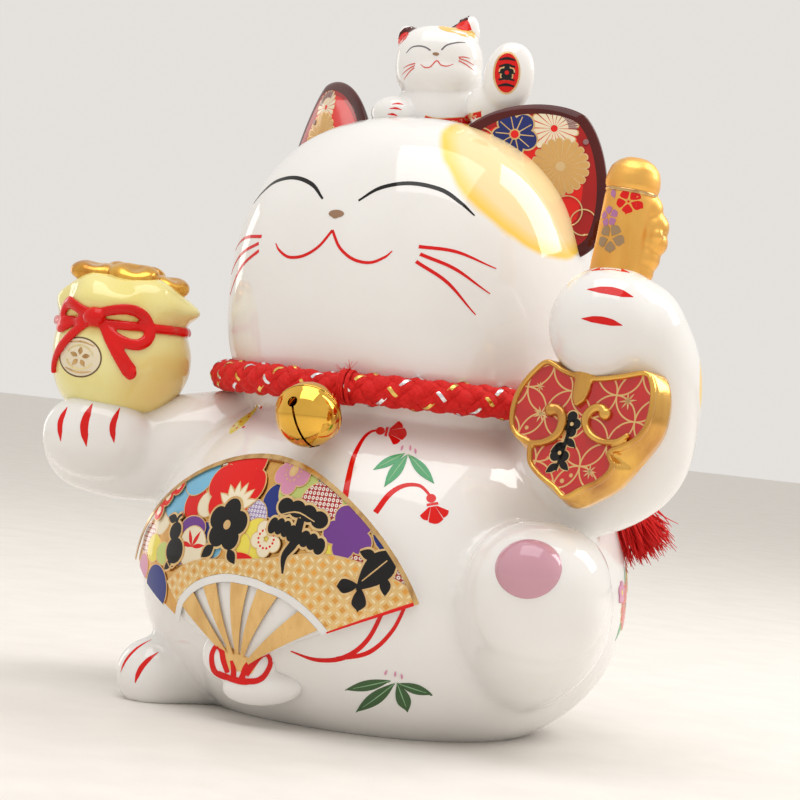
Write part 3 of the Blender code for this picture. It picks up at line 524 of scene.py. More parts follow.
FAN_AZIMUTH = -4.0
FAN_PIVOT_HEIGHT = 19.0
FAN_RADIUS = 68.0
FAN_HALF_SPREAD = 66.0
FAN_PROUD = 2.6
FAN_SQUEEZE = 0.94  # heights on the belly for lengths along the fan
SOLE_CENTRE = (87, -59.5, 59.5)
SOLE_AIM = (19.0, 14.0)
BAG_AXIS = (-84.5, -46.5)
RUYI_AXIS_X = 91.0
KITTEN = Vector((-1.5, 4, 218))
CORD_END_RADIUS = 4.4
TASSEL_HOLD = 17.0  # the cord reaches this far into its tassel
TASSEL_THREADS = 560
TASSEL_ROOT = 3.9
FRAY_WIRE = 0.14
CORD_ENDS = {  # azimuth, height and lift of the stations; the last is the tassel's tip
    "left": ((145, 92.5, 5.8), (140, 90.5, 5.8), (132, 87.5, 5.6), (124, 83.5, 6.0), (119, 80, 5.6),
             (114, 59, 9.5)),
    "right": ((160, 94.5, 6.2), (162.5, 89, 6.0), (164.5, 82, 5.6), (165.5, 73, 5.6), (166, 64, 6.8),
              (166.5, 40, 13)),
}


def body_form(shape, shrink=0.0, segments=128, rings=80):
    """The torso or the head, shrunk by a wall's thickness for the hollow."""
    radii = (shape["radii"][0] - shrink, shape["radii"][1] - shrink, shape["up"] - shrink)
    return ball(shape["centre"], radii, shape["power"], shape["up"] - shrink, shape["down"] - shrink,
                segments=segments, rings=rings)


def on_torso(azimuth, height, lift=0.0):
    """A point on the torso at an azimuth and a height, lifted along its normal."""
    power = TORSO["power"]
    rx, ry = TORSO["radii"]
    drop = height - TORSO["centre"][2]
    rz = TORSO["up"] if drop > 0 else TORSO["down"]
    ring = max(1 - abs(drop / rz) ** power, 1e-6) ** (1 / power)
    side, front = math.sin(math.radians(azimuth)), math.cos(math.radians(azimuth))
    reach = (abs(side / rx) ** power + abs(front / ry) ** power) ** (-1 / power)
    point = Vector((ring * reach * side, -ring * reach * front, height))
    normal = Vector((
        math.copysign(abs(point.x / rx) ** (power - 1) / rx, point.x),
        math.copysign(abs(point.y / ry) ** (power - 1) / ry, point.y),
        math.copysign(abs(drop / rz) ** (power - 1) / rz, drop),
    )).normalized()
    return point + normal * lift


def on_collar(azimuth, lift=0.0):
    """A point on the collar's centre line, or lift outside it."""
    side, front = math.sin(math.radians(azimuth)), math.cos(math.radians(azimuth))
    radii = (COLLAR_RADII[0] + lift, COLLAR_RADII[1] + lift)
    return Vector((radii[0] * side, COLLAR_CENTRE_Y - radii[1] * front, COLLAR_HEIGHT))


def fan_spot(x, y, lift=FAN_PROUD):
    """A point of the fan spread over the belly, x across and y up from its pivot."""
    azimuth = FAN_AZIMUTH + math.degrees(x / TORSO["radii"][0])
    return on_torso(azimuth, FAN_PIVOT_HEIGHT + y * FAN_SQUEEZE, lift)


# ---------------------------------------------------------------- flat art laid on a surface


def around(x, y, rx, ry, turn, angles):
    """Points at the angles, in radians, round a turned ellipse."""
    c, s = math.cos(math.radians(turn)), math.sin(math.radians(turn))
    return [(x + rx * math.cos(t) * c - ry * math.sin(t) * s, y + rx * math.cos(t) * s + ry * math.sin(t) * c)
            for t in angles]


def disc(x, y, rx, ry=None, turn=0.0, grow=0.0, count=28):
    return around(x, y, rx + grow, (ry or rx) + grow, turn, np.arange(count) / count * math.tau)


def stroke(stations, widths, count=24, grow=0.0):
    """A brush stroke through the stations, its width following widths, as a list of quads."""
    if len(stations) > 2:
        points = np.array(smooth_path(stations, count))
    else:
        points = np.linspace(*np.array(stations, float), count)
    steps = np.gradient(points, axis=0)
    steps /= np.maximum(np.linalg.norm(steps, axis=1), 1e-9)[:, None]
    sides = np.stack([-steps[:, 1], steps[:, 0]], 1)
    half = np.interp(np.linspace(0, 1, count), np.linspace(0, 1, len(widths)), widths) / 2 + grow
    left, right = points + sides * half[:, None], points - sides * half[:, None]
    return [[tuple(right[i]), tuple(right[i + 1]), tuple(left[i + 1]), tuple(left[i])] for i in range(count - 1)]


def ring(x, y, rx, ry=None, width=0.6, count=36, start=0, end=360):
    steps = np.radians(np.linspace(start, end, count + 1))
    outer, inner = (around(x, y, rx + side, (ry or rx) + side, 0, steps) for side in (width / 2, -width / 2))
    return [[inner[i], outer[i], outer[i + 1], inner[i + 1]] for i in range(count)]


def leaf(start, end, width, grow=0.0, belly=0.45):
    """A pointed leaf from start to end."""
    a, b = np.array(start, float), np.array(end, float)
    side = np.array([-(b - a)[1], (b - a)[0]]) / max(np.linalg.norm(b - a), 1e-9)
    edges = ([], [])
    for t in np.linspace(0, 1, 14):
        swell = t / belly if t < belly else (1 - t) / (1 - belly)
        half = (width / 2) * math.sin(swell * math.pi / 2) + grow
        for edge, sign in zip(edges, (1, -1)):
            edge.append(tuple(a + (b - a) * t + sign * side * half))
    return edges[1] + edges[0][::-1]


def blossom(x, y, radius, petals=5, turn=90.0, size=0.42, grow=0.0):
    """Round petals in a ring, size being a petal's share of the radius."""
    reach = radius * (1 - size)
    return [disc(x + reach * math.cos(t), y + reach * math.sin(t), radius * size, grow=grow, count=20)
            for t in np.radians(turn + np.arange(petals) * 360 / petals)]


def daisy(x, y, radius, petals, inner=0.15, fill=0.86, grow=0.0, start=0.0, end=360.0):
    """A chrysanthemum: blunt petals side by side round a centre."""
    shapes = []
    step = (end - start) / petals
    for i in range(petals):
        middle = math.radians(start + (i + 0.5) * step)
        half = math.radians(step) / 2 * fill
        shape = [(inner * radius * math.cos(middle - half), inner * radius * math.sin(middle - half))]
        for t in np.linspace(-1, 1, 9):
            reach = radius * (0.88 + 0.12 * math.sqrt(max(1 - t * t, 0))) + grow
            shape.append((reach * math.cos(middle + t * half), reach * math.sin(middle + t * half)))
        shape.append((inner * radius * math.cos(middle + half), inner * radius * math.sin(middle + half)))
        shapes.append([(x + px, y + py) for px, py in shape])
    return shapes


def moved(shapes, x=0.0, y=0.0, turn=0.0, scale=1.0):
    c, s = math.cos(math.radians(turn)) * scale, math.sin(math.radians(turn)) * scale
    return [[(x + px * c - py * s, y + px * s + py * c) for px, py in shape] for shape in shapes]


def laid(layers, spot, cell=3.0, lift=0.05, step=0.035, thick=0.3, within=None):
    """Layers of flat shapes laid over a surface as thin enamel, one above the other.

    layers are (ink, shapes); spot(x, y) gives the surface's point and normal there. within is a convex outline,
    counterclockwise, that everything is trimmed to. The shapes are cut along a grid of cells to follow the surface.
    """
    work = bmesh.new()
    inks = list(dict.fromkeys(ink for ink, _ in layers))
    for level, (ink, shapes) in enumerate(layers):
        for shape in shapes:
            work.faces.new([work.verts.new((x, y, level)) for x, y in shape]).material_index = inks.index(ink)
    work.normal_update()
    for face in work.faces:
        if face.normal.z < 0:
            face.normal_flip()
    bmesh.ops.triangulate(work, faces=work.faces[:], ngon_method="EAR_CLIP")

    def slice_at(place, normal, clear=False):
        bmesh.ops.bisect_plane(work, geom=work.verts[:] + work.edges[:] + work.faces[:], plane_co=place,
                               plane_no=normal, dist=1e-5, clear_outer=clear)

    border = list(within or ())
    for (ax, ay), (bx, by) in zip(border, border[1:] + border[:1]):
        slice_at((ax, ay, 0), (by - ay, ax - bx, 0), clear=True)
    spans = [(min(values), max(values)) for values in zip(*[vert.co.xy for vert in work.verts])]
    for (low, high), axis in zip(spans, (Vector((1, 0, 0)), Vector((0, 1, 0)))):
        for at in np.arange(math.floor(low / cell) * cell + cell, high, cell):
            slice_at(axis * at, axis)
    uv = work.loops.layers.uv.new("UVMap")
    for face in work.faces:
        for loop in face.loops:
            loop[uv].uv = loop.vert.co.xy
    for vert in work.verts:
        point, normal = spot(vert.co.x, vert.co.y)
        vert.co = point + normal * (lift + step * vert.co.z)
    mesh = mesh_of([work])
    for ink in inks:
        mesh.materials.append(MATERIALS[ink])

    def thicken(holder):
        solid = holder.modifiers.new("solidify", "SOLIDIFY")
        solid.thickness = thick
        solid.offset = -1

    return evaluated(mesh, thicken)


def canvas(tree, centre, out, up=(0, 0, 1), turn=0.0, reach=25.0):
    """spot(x, y) for a flat picture held in front of centre and pressed on along -out."""
    out = Vector(out).normalized()
    right = Vector(up).cross(out).normalized()
    high = out.cross(right)
    c, s = math.cos(math.radians(turn)), math.sin(math.radians(turn))
    right, high = right * c + high * s, high * c - right * s
    centre = Vector(centre)

    def spot(x, y):
        start = centre + right * x + high * y + out * reach
        point, normal, _, _ = tree.ray_cast(start, -out)
        if point is None:
            point, normal, _, _ = tree.find_nearest(start - out * reach)
        return point, normal

    return spot


def on_body(tree, azimuth, height, turn=0.0):
    """spot(x, y) for a picture centred on the body at that azimuth and height, square to the surface."""
    outward = aim(azimuth)
    point, normal, _, _ = tree.ray_cast(outward * 200 + Vector((0, 0, height)), -outward)
    return canvas(tree, point, normal, turn=turn)


def enamel(name, spot, layers, slot="red_enamel", **more):
    """Lays the layers as a piece of their own."""
    put(name, laid(layers, spot, **more), sharp=40)


# ---------------------------------------------------------------- cord: braid, collar, ends and tassels


def braid(points, normals, radius, pitch, closed=False):
    """A round braid of eight flat strands, four each way, over one and under one; returns (strands, tinsel)."""
    points, normals = np.array(points, float), np.array(normals, float)
    tangents = np.roll(points, -1, 0) - np.roll(points, 1, 0) if closed else np.gradient(points, axis=0)
    tangents /= np.linalg.norm(tangents, axis=1)[:, None]
    normals -= (normals * tangents).sum(1)[:, None] * tangents
    normals /= np.linalg.norm(normals, axis=1)[:, None]
    across = np.cross(tangents, normals)
    steps = np.linalg.norm(np.roll(points, -1, 0) - points, axis=1)
    along = np.concatenate([[0], np.cumsum(steps)[:-1]])
    total = steps.sum() if closed else along[-1]
    if closed:
        pitch = total / round(total / pitch)
    turn = along / pitch * math.tau
    thick = 0.21 * radius
    weave = 0.16 * radius
    floss, tinsel = [], {"gold": [], "silver": []}
    for way in (1, -1):
        for k in range(STRANDS):
            angle = way * turn + k * math.tau / STRANDS
            out = normals * np.cos(angle)[:, None] + across * np.sin(angle)[:, None]
            over = way * np.cos(STRANDS * turn)
            far = radius - thick - weave + weave * over
            line = points + out * far[:, None]
            floss.append(sweep(line, out, 0.47 * radius, thick, closed=closed))
            if k % 2 == 0:
                kind = "gold" if (k == 0) == (way == 1) else "silver"
                line = points + out * (far + thick - 0.10 + 0.15 * over)[:, None]
                tinsel[kind].append(sweep(line, out, 0.11 * radius, 0.12, sides=4, closed=closed))
    core = sweep(points, normals, 0.6 * radius, 0.6 * radius, sides=12, closed=closed)
    return floss + [core], tinsel


def corded(name, forms, replaced):
    return put(name, mesh_of(forms), "yarn", replaced, sharp=60)


def braided_piece(name, floss, tinsel, replaced):
    """The floss of a braid as one piece and its gold and silver tinsel as another."""
    cord = corded(name, floss, replaced)
    share = sum(len(strand.faces) for strand in tinsel["gold"])
    shiny = mesh_of(tinsel["gold"] + tinsel["silver"])
    for polygon in shiny.polygons:
        polygon.material_index = 0 if polygon.index < share else 1
    return cord, put(name + "_tinsel", shiny, ("gold_thread", "silver_thread"), sharp=40)


def collar():
    azimuths = np.linspace(0, 360, 480, endpoint=False)
    points = [on_collar(azimuth) for azimuth in azimuths]
    normals = [on_collar(azimuth, 1) - on_collar(azimuth) for azimuth in azimuths]
    floss, tinsel = braid(points, normals, COLLAR_BRAID, COLLAR_PITCH, closed=True)
    for form in floss + tinsel["gold"] + tinsel["silver"]:
        for vert in form.verts:  # the bell's loop draws the plait in
            azimuth = math.degrees(math.atan2(vert.co.x, -vert.co.y))
            squeeze = 0.16 * math.exp(-((azimuth - BELL_AZIMUTH) / 9) ** 2)
            vert.co = vert.co.lerp(on_collar(azimuth), squeeze)
    braided_piece("collar_braid", floss, tinsel, ("collar_cord", "bell_thread"))


def strand_ring(centre, direction, radius, wire, turns, length):
    """Sewing thread wound round a cord."""
    direction = Vector(direction).normalized()
    side = direction.orthogonal().normalized()
    other = direction.cross(side)
    points, normals = [], []
    for t in np.linspace(0, 1, turns * 24):
        angle = t * turns * math.tau
        wobble = 0.25 * math.sin(angle * 0.37)
        out = side * math.cos(angle) + other * math.sin(angle)
        points.append(Vector(centre) + direction * ((t - 0.5) * length + wobble) + out * radius)
        normals.append(out)
    return sweep(points, normals, wire, wire, sides=6)


def loose_threads(rng, root, outward, count, length, spread):
    """Frayed filaments that curl away from root."""
    forms = []
    outward = Vector(outward).normalized()
    taper = np.linspace(FRAY_WIRE, 0.4 * FRAY_WIRE, 7)
    for _ in range(count):
        lean = Vector(rng.normal(0, spread, 3))
        bend = Vector(rng.normal(0, spread * 0.8, 3))
        own = length * rng.uniform(0.6, 1.1)
        points = [Vector(root) + (outward + lean * t + bend * t * t) * own * t for t in np.linspace(0, 1, 7)]
        forms.append(sweep(points, [outward.orthogonal()] * len(points), taper, taper, sides=4))
    return forms


def whipping():
    """Thread wound round the collar where its ends meet, with two frayed tufts."""
    spot = on_collar(WHIPPING_AZIMUTH)
    ahead = on_collar(WHIPPING_AZIMUTH + 1) - on_collar(WHIPPING_AZIMUTH - 1)
    out = on_collar(WHIPPING_AZIMUTH, 1) - spot
    up = Vector((0, 0, 1))
    rng = np.random.default_rng(11)
    forms = [strand_ring(spot, ahead, 5.3, 0.42, 5, 4.4)]
    forms += loose_threads(rng, spot + Vector((0, 0, 4.9)), out * 0.5 + up, 12, 2.2, 0.5)
    forms += loose_threads(rng, spot + Vector((-1, 0, 4.6)), up * 0.5 - ahead, 10, 3.5, 0.35)
    corded("collar_whipping_thread", forms, ("collar_whipping",))


def knot():
    """An overhand knot of the same braid."""
    spot = on_collar(COLLAR_KNOT_AZIMUTH, 1.6)
    out, side = aim(COLLAR_KNOT_AZIMUTH), aim(COLLAR_KNOT_AZIMUTH + 90)
    points = []
    for t in np.linspace(0, math.tau, 90, endpoint=False):
        flat = (math.sin(t) + 2 * math.sin(2 * t), math.cos(t) - 2 * math.cos(2 * t), -math.sin(3 * t))
        points.append(spot + side * flat[0] * 2.35 + Vector((0, 0, flat[1] * 2.1)) + out * flat[2] * 2.6)
    normals = [out + Vector((0, 0, 0.01))] * len(points)
    braided_piece("collar_knot_tied", *braid(points, normals, 3.6, 15.0, closed=True), ("collar_knot",))


def end_route(side):
    """The route of a free cord end, as in part.py: points over the back and the tassel's tip."""
    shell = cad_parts["body_shell"].data
    tree = BVHTree.FromPolygons([vert.co / MM - CENTRE for vert in shell.vertices],
                                [tuple(polygon.vertices) for polygon in shell.polygons])
    stations = []
    for azimuth, height, lift in CORD_ENDS[side]:
        outward = aim(azimuth)
        spot, normal, _, _ = tree.ray_cast(outward * 200 + Vector((0, 0, height)), -outward)
        stations.append(spot + normal * lift)
    points = smooth_path(stations, 120)
    last = round(120 * (len(stations) - 2) / (len(stations) - 1))
    return [Vector(point) for point in points[:last]], stations[-1]


def cord_ends():
    """The two free ends of the collar's cord, each with its thread whipping and its tassel."""
    rng = np.random.default_rng(5)
    for side in CORD_ENDS:
        points, tip = end_route(side)
        hang = (tip - points[-1]).normalized()
        core = points + [points[-1] + hang * step for step in np.linspace(0.8, TASSEL_HOLD, 18)]
        out = [Vector((point.x, point.y, 0.2 * point.z)).normalized() for point in core]
        cord, tinsel = braided_piece("cord_tail_" + side, *braid(core, out, CORD_END_RADIUS + 0.1, 20.0),
                                     ("cord_end_" + side,))
        wound = strand_ring(points[-1].lerp(points[-10], 0.75), points[-1] - points[-10], CORD_END_RADIUS + 0.45,
                            0.45, 5, 4.0)
        binding = corded("cord_whipping_" + side, [wound], ("end_whipping_" + side,))
        fringe = corded("tassel_fringe_" + side, tassel_threads(rng, points[-1], hang), ("tassel_" + side,))


def tassel_threads(rng, root, hang):
    """The cord's end combed out: crimped threads that fan out as they hang."""
    side = hang.orthogonal().normalized()
    other = hang.cross(side)
    steps = np.linspace(0, 1, 11)
    width = np.interp(steps, (0, 0.75, 1), (0.36, 0.3, 0.1))
    forms = []
    for _ in range(TASSEL_THREADS):
        angle = rng.uniform(0, math.tau)
        start = TASSEL_ROOT * math.sqrt(rng.uniform(0.0, 1))
        flare = rng.uniform(0.5, 1.15)
        out = side * math.cos(angle) + other * math.sin(angle)
        length = rng.uniform(19, 26)
        sway = Vector(rng.normal(0, 0.7, 3))
        phase = rng.uniform(0, math.tau)
        points = []
        for t in steps:
            crimp = 0.5 * math.sin(phase + t * 15) * t
            reach = start + (start / TASSEL_ROOT) * flare * 6.8 * t ** 1.1
            points.append(root + hang * (length * t - 0.5) + out * (reach + crimp) + sway * t * t * 1.6)
        forms.append(sweep(points, [out + hang * 0.01] * 11, width, width * 0.8, sides=4))
    return forms


# ---------------------------------------------------------------- bell


def bell_eye_centre():
    return on_collar(BELL_AZIMUTH) + Vector(BELL_HANG)


def bell_matrix():
    """Places the bell, modelled upright round its own middle, as it hangs at rest."""
    turn = Matrix.Rotation(math.radians(BELL_TWIST), 4, "Z") @ Matrix.Rotation(math.radians(-BELL_LEAN), 4, "X")
    reach = turn @ Vector((0, 0, BELL_RADIUS + BELL_EYE_REACH))
    return Matrix.Translation(bell_eye_centre() - reach) @ turn @ Matrix.Rotation(math.radians(BELL_SPIN), 4, "Z")


def cup(upper):
    """Half of the bell: a thin hollow hemisphere with a rolled lip."""
    outer, inner = BELL_RADIUS, BELL_RADIUS - BELL_WALL
    start, end = (90, 2.5) if upper else (-2.5, -90)
    angles = np.linspace(math.radians(start), math.radians(end), 28)
    outside = [(outer * math.cos(t), outer * math.sin(t)) for t in angles]
    inside = [(inner * math.cos(t), inner * math.sin(t)) for t in angles[::-1]]
    way = 1 if upper else -1
    lip = [(outer + 0.28, 0.62 * way), (outer + 0.36, 0.4 * way), (outer + 0.28, 0.16 * way), (inner, 0.16 * way)]
    if upper:
        hole = BELL_WIRE + 0.35
        outside[0] = (hole, outside[0][1])
        inside[-1] = (hole, inside[-1][1])
        profile = outside + lip + inside[1:] + [outside[0]]
    else:
        outside[-1] = (0, -outer)
        inside[0] = (0, -inner)
        profile = [(0, -inner)] + inside[1:-1] + lip[::-1] + outside[1:]
    return turned(profile, segments=96)


def bell():
    """The bell's two cups with the slot and its holes, the ball inside, and the wire loop with its headed stem."""
    hung = bell_matrix()
    upper, lower = cup(True), cup(False)
    slot = bmesh.new()
    bmesh.ops.create_cube(slot, size=1)
    bmesh.ops.scale(slot, vec=(BELL_RADIUS * 1.7, 0.75, 9), verts=slot.verts)
    bmesh.ops.translate(slot, vec=(0, 0, -BELL_RADIUS + 1), verts=slot.verts)
    lower = carved(lower, mesh_of([slot]))
    drop = math.radians(-34)
    for side in (-1, 1):
        drill = turned(((0, 4), (1.7, 4), (1.7, -4), (0, -4)), segments=32)
        drill.transform(Matrix.Translation((side * BELL_RADIUS * math.cos(drop), 0, BELL_RADIUS * math.sin(drop)))
                        @ Matrix.Rotation(side * math.radians(90 + 34), 4, "Y"))
        lower = carved(lower, drill)
    for half, mesh in (("upper", upper), ("lower", lower)):
        mesh.transform(hung)
        put("bell_dome_" + half, mesh, "brass", ("bell_" + half + "_cup",), "bell", sharp=50)
    pellet = mesh_of([ball(node_middle("bell_pellet") - CENTRE, (2.6,) * 3, segments=32, rings=20)])
    put("bell_ball", pellet, "steel", ("bell_pellet",), "pellet", sharp=40)
    eye = BELL_RADIUS + BELL_EYE_REACH
    wire = [Vector((0, BELL_EYE_RADIUS * math.cos(t), eye + BELL_EYE_RADIUS * math.sin(t)))
            for t in np.linspace(0, math.tau, 48, endpoint=False)]
    loop = sweep(wire, [Vector((1, 0, 0))] * 48, BELL_WIRE, BELL_WIRE, sides=12, closed=True)
    neck, inner = BELL_RADIUS, BELL_RADIUS - BELL_WALL
    stem = form_of(turned(((0, neck + 1.2), (BELL_WIRE, neck + 1.2), (BELL_WIRE, inner - 0.4), (1.8, inner - 0.5),
                           (1.8, inner - 1.2), (0, inner - 1.3)), segments=32))
    eyelet = mesh_of([loop, stem])
    eyelet.transform(hung @ Matrix.Rotation(math.radians(-BELL_SPIN), 4, "Z"))
    put("bell_loop_wire", eyelet, "brass", ("bell_eyelet",), "bell_loop", sharp=50)


# ---------------------------------------------------------------- castings


def sole_form():
    """The pad under the raised foot, a little proud of the CAD's."""
    mesh = mesh_of([ball((0, 0, 0), (10.5, 9.5, 7.6), segments=64, rings=32)])
    mesh.transform(Matrix.Translation(SOLE_CENTRE) @ aim(*SOLE_AIM).to_track_quat("Z", "Y").to_matrix().to_4x4())
    return mesh


def tail_forms():
    """The short tail that curls up the back."""
    path = [on_torso(azimuth, height, lift) for azimuth, height, lift in
            ((172, 13, 1), (184, 17, 2), (196, 27, 2.5), (199, 40, 3), (192, 50, 3))]
    return limb([(*point, radius) for point, radius in zip(path, (11, 11, 10.5, 10, 9))])


def cat_clay():
    """Torso, head, arms, feet and tail, luted together under one glaze."""
    forms = [body_form(TORSO), body_form(HEAD)]
    forms += limb(((-48, -20, 85, 19), (-66, -31, 82, 18), (-82, -40, 79, 16.6), (-93, -46, 79.5, 15.2)))
    forms.append(ball((-82.4, -56.4, 83.2), (18.2, 12.5, 14.2), 2.15, turn=(0, 0, VIEW_AZIMUTH)))
    forms.append(ball((-93, -47, 80), (15, 15.5, 14.8)))
    forms += limb(((58, -2, 86, 19), (76, -5, 87, 18.5), (91, -9, 95, 17.8), (97, -16, 109, 17.6),
                   (98.5, -22, 122, 17.8), (96, -29, 132, 18)))
    forms.append(ball((92, -34, 134), (18.6, 18.8, 18.6)))
    forms.append(ball((96, -24, 128), (17.6, 17.5, 18)))
    forms += limb(((48, -8, 38, 32), (66, -24, 43, 28), (78, -38, 49, 24)))
    forms.append(ball((82, -44, 52), (22, 21, 21.5), 2.3, turn=(14, 0, 19), segments=64, rings=40))
    forms += limb(((-36, -28, 15, 16), (-45, -43, 11.5, 13.5), (-51.5, -54, 8.5, 12)))
    forms += tail_forms()
    return fuse(forms, 1.35, 14)


def body_glazed():
    """The fused casting, hollow inside, with its base ring and drain hole."""
    hollow = cut_below(fuse([body_form(TORSO, WALL, 64, 40), body_form(HEAD, WALL, 64, 40)], 4.0, 4), BASE_HOLLOW)
    base = turned(((0, 13), (13.3, 13), (13.3, 5), (16.3, 5), (16.3, 3), (42, 3), (44, -2), (0, -2)))
    return carved(carved(cut_below(cat_clay()), hollow), base)


EARS = {
    "left": dict(base=(38.5, 4, 178), turn=25.0, tilt=36.0, height=29.5),
    "right": dict(base=(37.5, 5, 179.5), turn=25.0, tilt=29.0, height=35.0),
}
EAR_FLOWERS = {  # centres of the ochre, blue and cream flowers, and the cream one's radius
    "left": ((2.7, 11.7), (-15.4, 9.7), (-7.2, 19.6), 7.7),
    "right": ((1.0, 15.0), (12.4, 7.6), (-4.2, 24.6), 5.9),
}
EAR_HALF_WIDTH = 28.5
EAR_FACE_WIDTH = 24.6  # half the enamelled face
EAR_RIM = 3.6  # the rim above the face
EAR_ROOT = 20
EAR_POWER = 2 / 1.55
EAR_LEAN = 2.5


def ear_edge(x, z, half_width, height):
    """A unit circle's point moved onto an ear's outline, pointed above and round below."""
    if z > 0:
        return half_width * signed_power(x, EAR_POWER), height * signed_power(z, EAR_POWER)
    return half_width * x, EAR_ROOT * z


def ear_form(base, turn, tilt, height):
    """The ear's own upright shape as a bmesh, and the matrix that sets it on the head's left side."""
    form = bmesh.new()
    bmesh.ops.create_uvsphere(form, u_segments=128, v_segments=72, radius=1)
    for vert in form.verts:
        x, y, z = vert.co
        across, rise = ear_edge(x, z, EAR_HALF_WIDTH, height)
        bend = 5.5 * (across / EAR_HALF_WIDTH) ** 2
        vert.co = (across - EAR_LEAN * max(z, 0), 5.2 * y - bend, rise)
    place = Matrix.Rotation(math.radians(turn), 4, "Z") @ Matrix.Rotation(math.radians(tilt), 4, "Y")
    return form, Matrix.Translation(base) @ place


def ear(side):
    """An ear with a dark glazed rim and back, a red enamelled face and gilt-edged flowers on it."""
    form, place = ear_form(**EARS[side])
    if side == "right":
        place = Matrix.Scale(-1, 4, (1, 0, 0)) @ place
    mesh = mesh_of([form])
    outline = []
    for t in np.radians(np.linspace(-28, 208, 60)):
        across, rise = ear_edge(math.cos(t), math.sin(t), EAR_FACE_WIDTH, EARS[side]["height"] - EAR_RIM)
        outline.append((across - EAR_LEAN * max(math.sin(t), 0), rise))
    big, small, pale, reach = EAR_FLOWERS[side]
    spokes = [quad for t in np.radians(36 * np.arange(10)) for quad in stroke(
        [small, (small[0] + 6.2 * math.cos(t), small[1] + 6.2 * math.sin(t))], (0.4, 0.3), 4)]
    rings = ((14, 2.2, 5.0), (20.5, 3.0, 4.2), (-22, 0.5, 4.6), (-10, -3.5, 5.6), (-3.5, -5.5, 3.6))
    layers = [
        ("ear_red_deep", [outline]),
        ("ear_red", [[(x * 0.86 - 2.2, z * 0.93 - 0.6) for x, z in outline]]),
        ("ink_gold", daisy(*pale, reach + 0.1, 18, grow=0.35)),
        ("ink_cream", daisy(*pale, reach, 18, fill=0.8)),
        ("ink_plum", daisy(*pale, reach, 18, fill=0.8, start=40, end=150, inner=0.6)),
        ("ink_gold", daisy(*big, 9.2, 20, grow=0.3, fill=0.99)),
        ("ink_ochre", daisy(*big, 9.1, 20, fill=0.84)),
        ("ink_gold", [disc(*big, 1.6)]),
        ("ink_gold", blossom(*small, 7.6, grow=0.45)),
        ("ink_blue", blossom(*small, 7.5)),
        ("ink_gold", spokes),
        ("ink_gold", [disc(*small, 1.8)]),
        ("ear_red", [disc(*small, 1.3)]),
        ("ink_gold", [quad for spec in rings[:3] for quad in ring(*spec, width=0.4)]),
        ("ink_gold", [quad for spec in rings[3:] for quad in ring(*spec, width=0.4)]),
        ("ink_cream", [disc(-7.1, 12.4, 0.9)]),
        ("ink_plum", [disc(3.4, 23.0, 0.9)]),
    ]
    art = laid(layers, canvas(tree_of(mesh), (0, -12, 0), (0, -1, 0)), cell=2.2, lift=0.06, within=outline)
    for piece in (mesh, art):
        piece.transform(place)
        if side == "right":
            piece.flip_normals()
    put("ear_" + side + "_glazed", mesh, "ear_dark", ("ear_" + side,))
    put("ear_" + side + "_enamel", art, sharp=40)


# ---------------------------------------------------------------- fan

FAN_ARC = ((-66, 28), (-53, 29), (-20, 27.5), (5, 27.3), (25, 28.5), (50, 33), (66, 36.5))  # the ribs' ends
FAN_PATCHES = (  # ink, x, y, radius and flatness, each with a gold edge
    ("ink_cream", -44, 44, 6.5, 1), ("dots_red", -51, 35, 6, 1), ("ink_sky", -37, 49, 7, 0.8),
    ("ink_red", -27, 50, 5, 1.1), ("ink_yellow", -45, 33, 5, 0.9), ("ink_pink", -52.5, 26, 4.5, 1),
    ("ink_green", -37.5, 32, 4.5, 0.8), ("dots_lilac", -28, 33, 4.5, 0.8), ("ink_navy", -47, 50, 4.5, 0.8),
    ("ink_cream", -20, 50, 4.5, 0.9), ("ink_navy", -17, 40.5, 4, 1), ("ink_sky", -13, 36.5, 4.5, 0.7),
    ("ink_sky", -30, 60, 8, 1), ("ink_sky", 27, 64, 12, 0.7), ("ink_sky", 61, 41, 11, 1),
    ("ink_navy", 9.5, 54, 5.5, 1), ("ink_navy", -40, 21, 7, 1), ("ink_navy", 53, 49, 7.5, 1),
    ("fan_gold", 36, 53, 9, 1), ("ink_green", 16.5, 58.5, 7.2, 1), ("ink_green", 39.5, 56.5, 5.8, 1),
    ("dots_red", 26.5, 54.5, 7.6, 0.9), ("dots_lilac", 1.5, 47.5, 6.0, 1), ("dots_lilac", 47.5, 52, 4.6, 1),
    ("dots_red", 57, 37, 6.0, 1), ("dots_red", 41.5, 37.5, 5.0, 1), ("ink_yellow", 5.5, 41.5, 6.4, 1),
    ("ink_yellow", 31, 41.5, 4.5, 0.8), ("ink_yellow", -1, 38.5, 4.5, 1), ("ink_purple", -23, 42, 6.0, 0.6),
    ("ink_cream", -21.5, 36, 6.5, 1),
)
FAN_HILLS = ((-31.6, 23.2), (-24, 29.3), (-15, 32.4), (-4.8, 33.6), (11.2, 35.8), (26.3, 39), (37.9, 39.1),
             (48, 36.5), (58.7, 31.8), (61, 28))
FAN_RIBS = ((-54, -39), (-29, -17), (-4, 11), (19, 34), (49, 62.5))


def fan_polar(radius, angle):
    """A point of the flat fan at a radius and at an angle in degrees from straight up."""
    t = math.radians(angle)
    return radius * math.sin(t), radius * math.cos(t)


def wedge(near, far, start, end, count=10):
    """A slice of the fan between two radii, each a number or a function of the angle."""
    angles = np.linspace(start, end, count)
    inner, outer = (radius if callable(radius) else lambda angle, fixed=radius: fixed for radius in (near, far))
    return [fan_polar(outer(a), a) for a in angles] + [fan_polar(inner(a), a) for a in angles[::-1]]


def rib_end(angle, past=0.0):
    """The radius at which a rib at an angle ends."""
    return float(np.interp(angle, *zip(*FAN_ARC))) + past


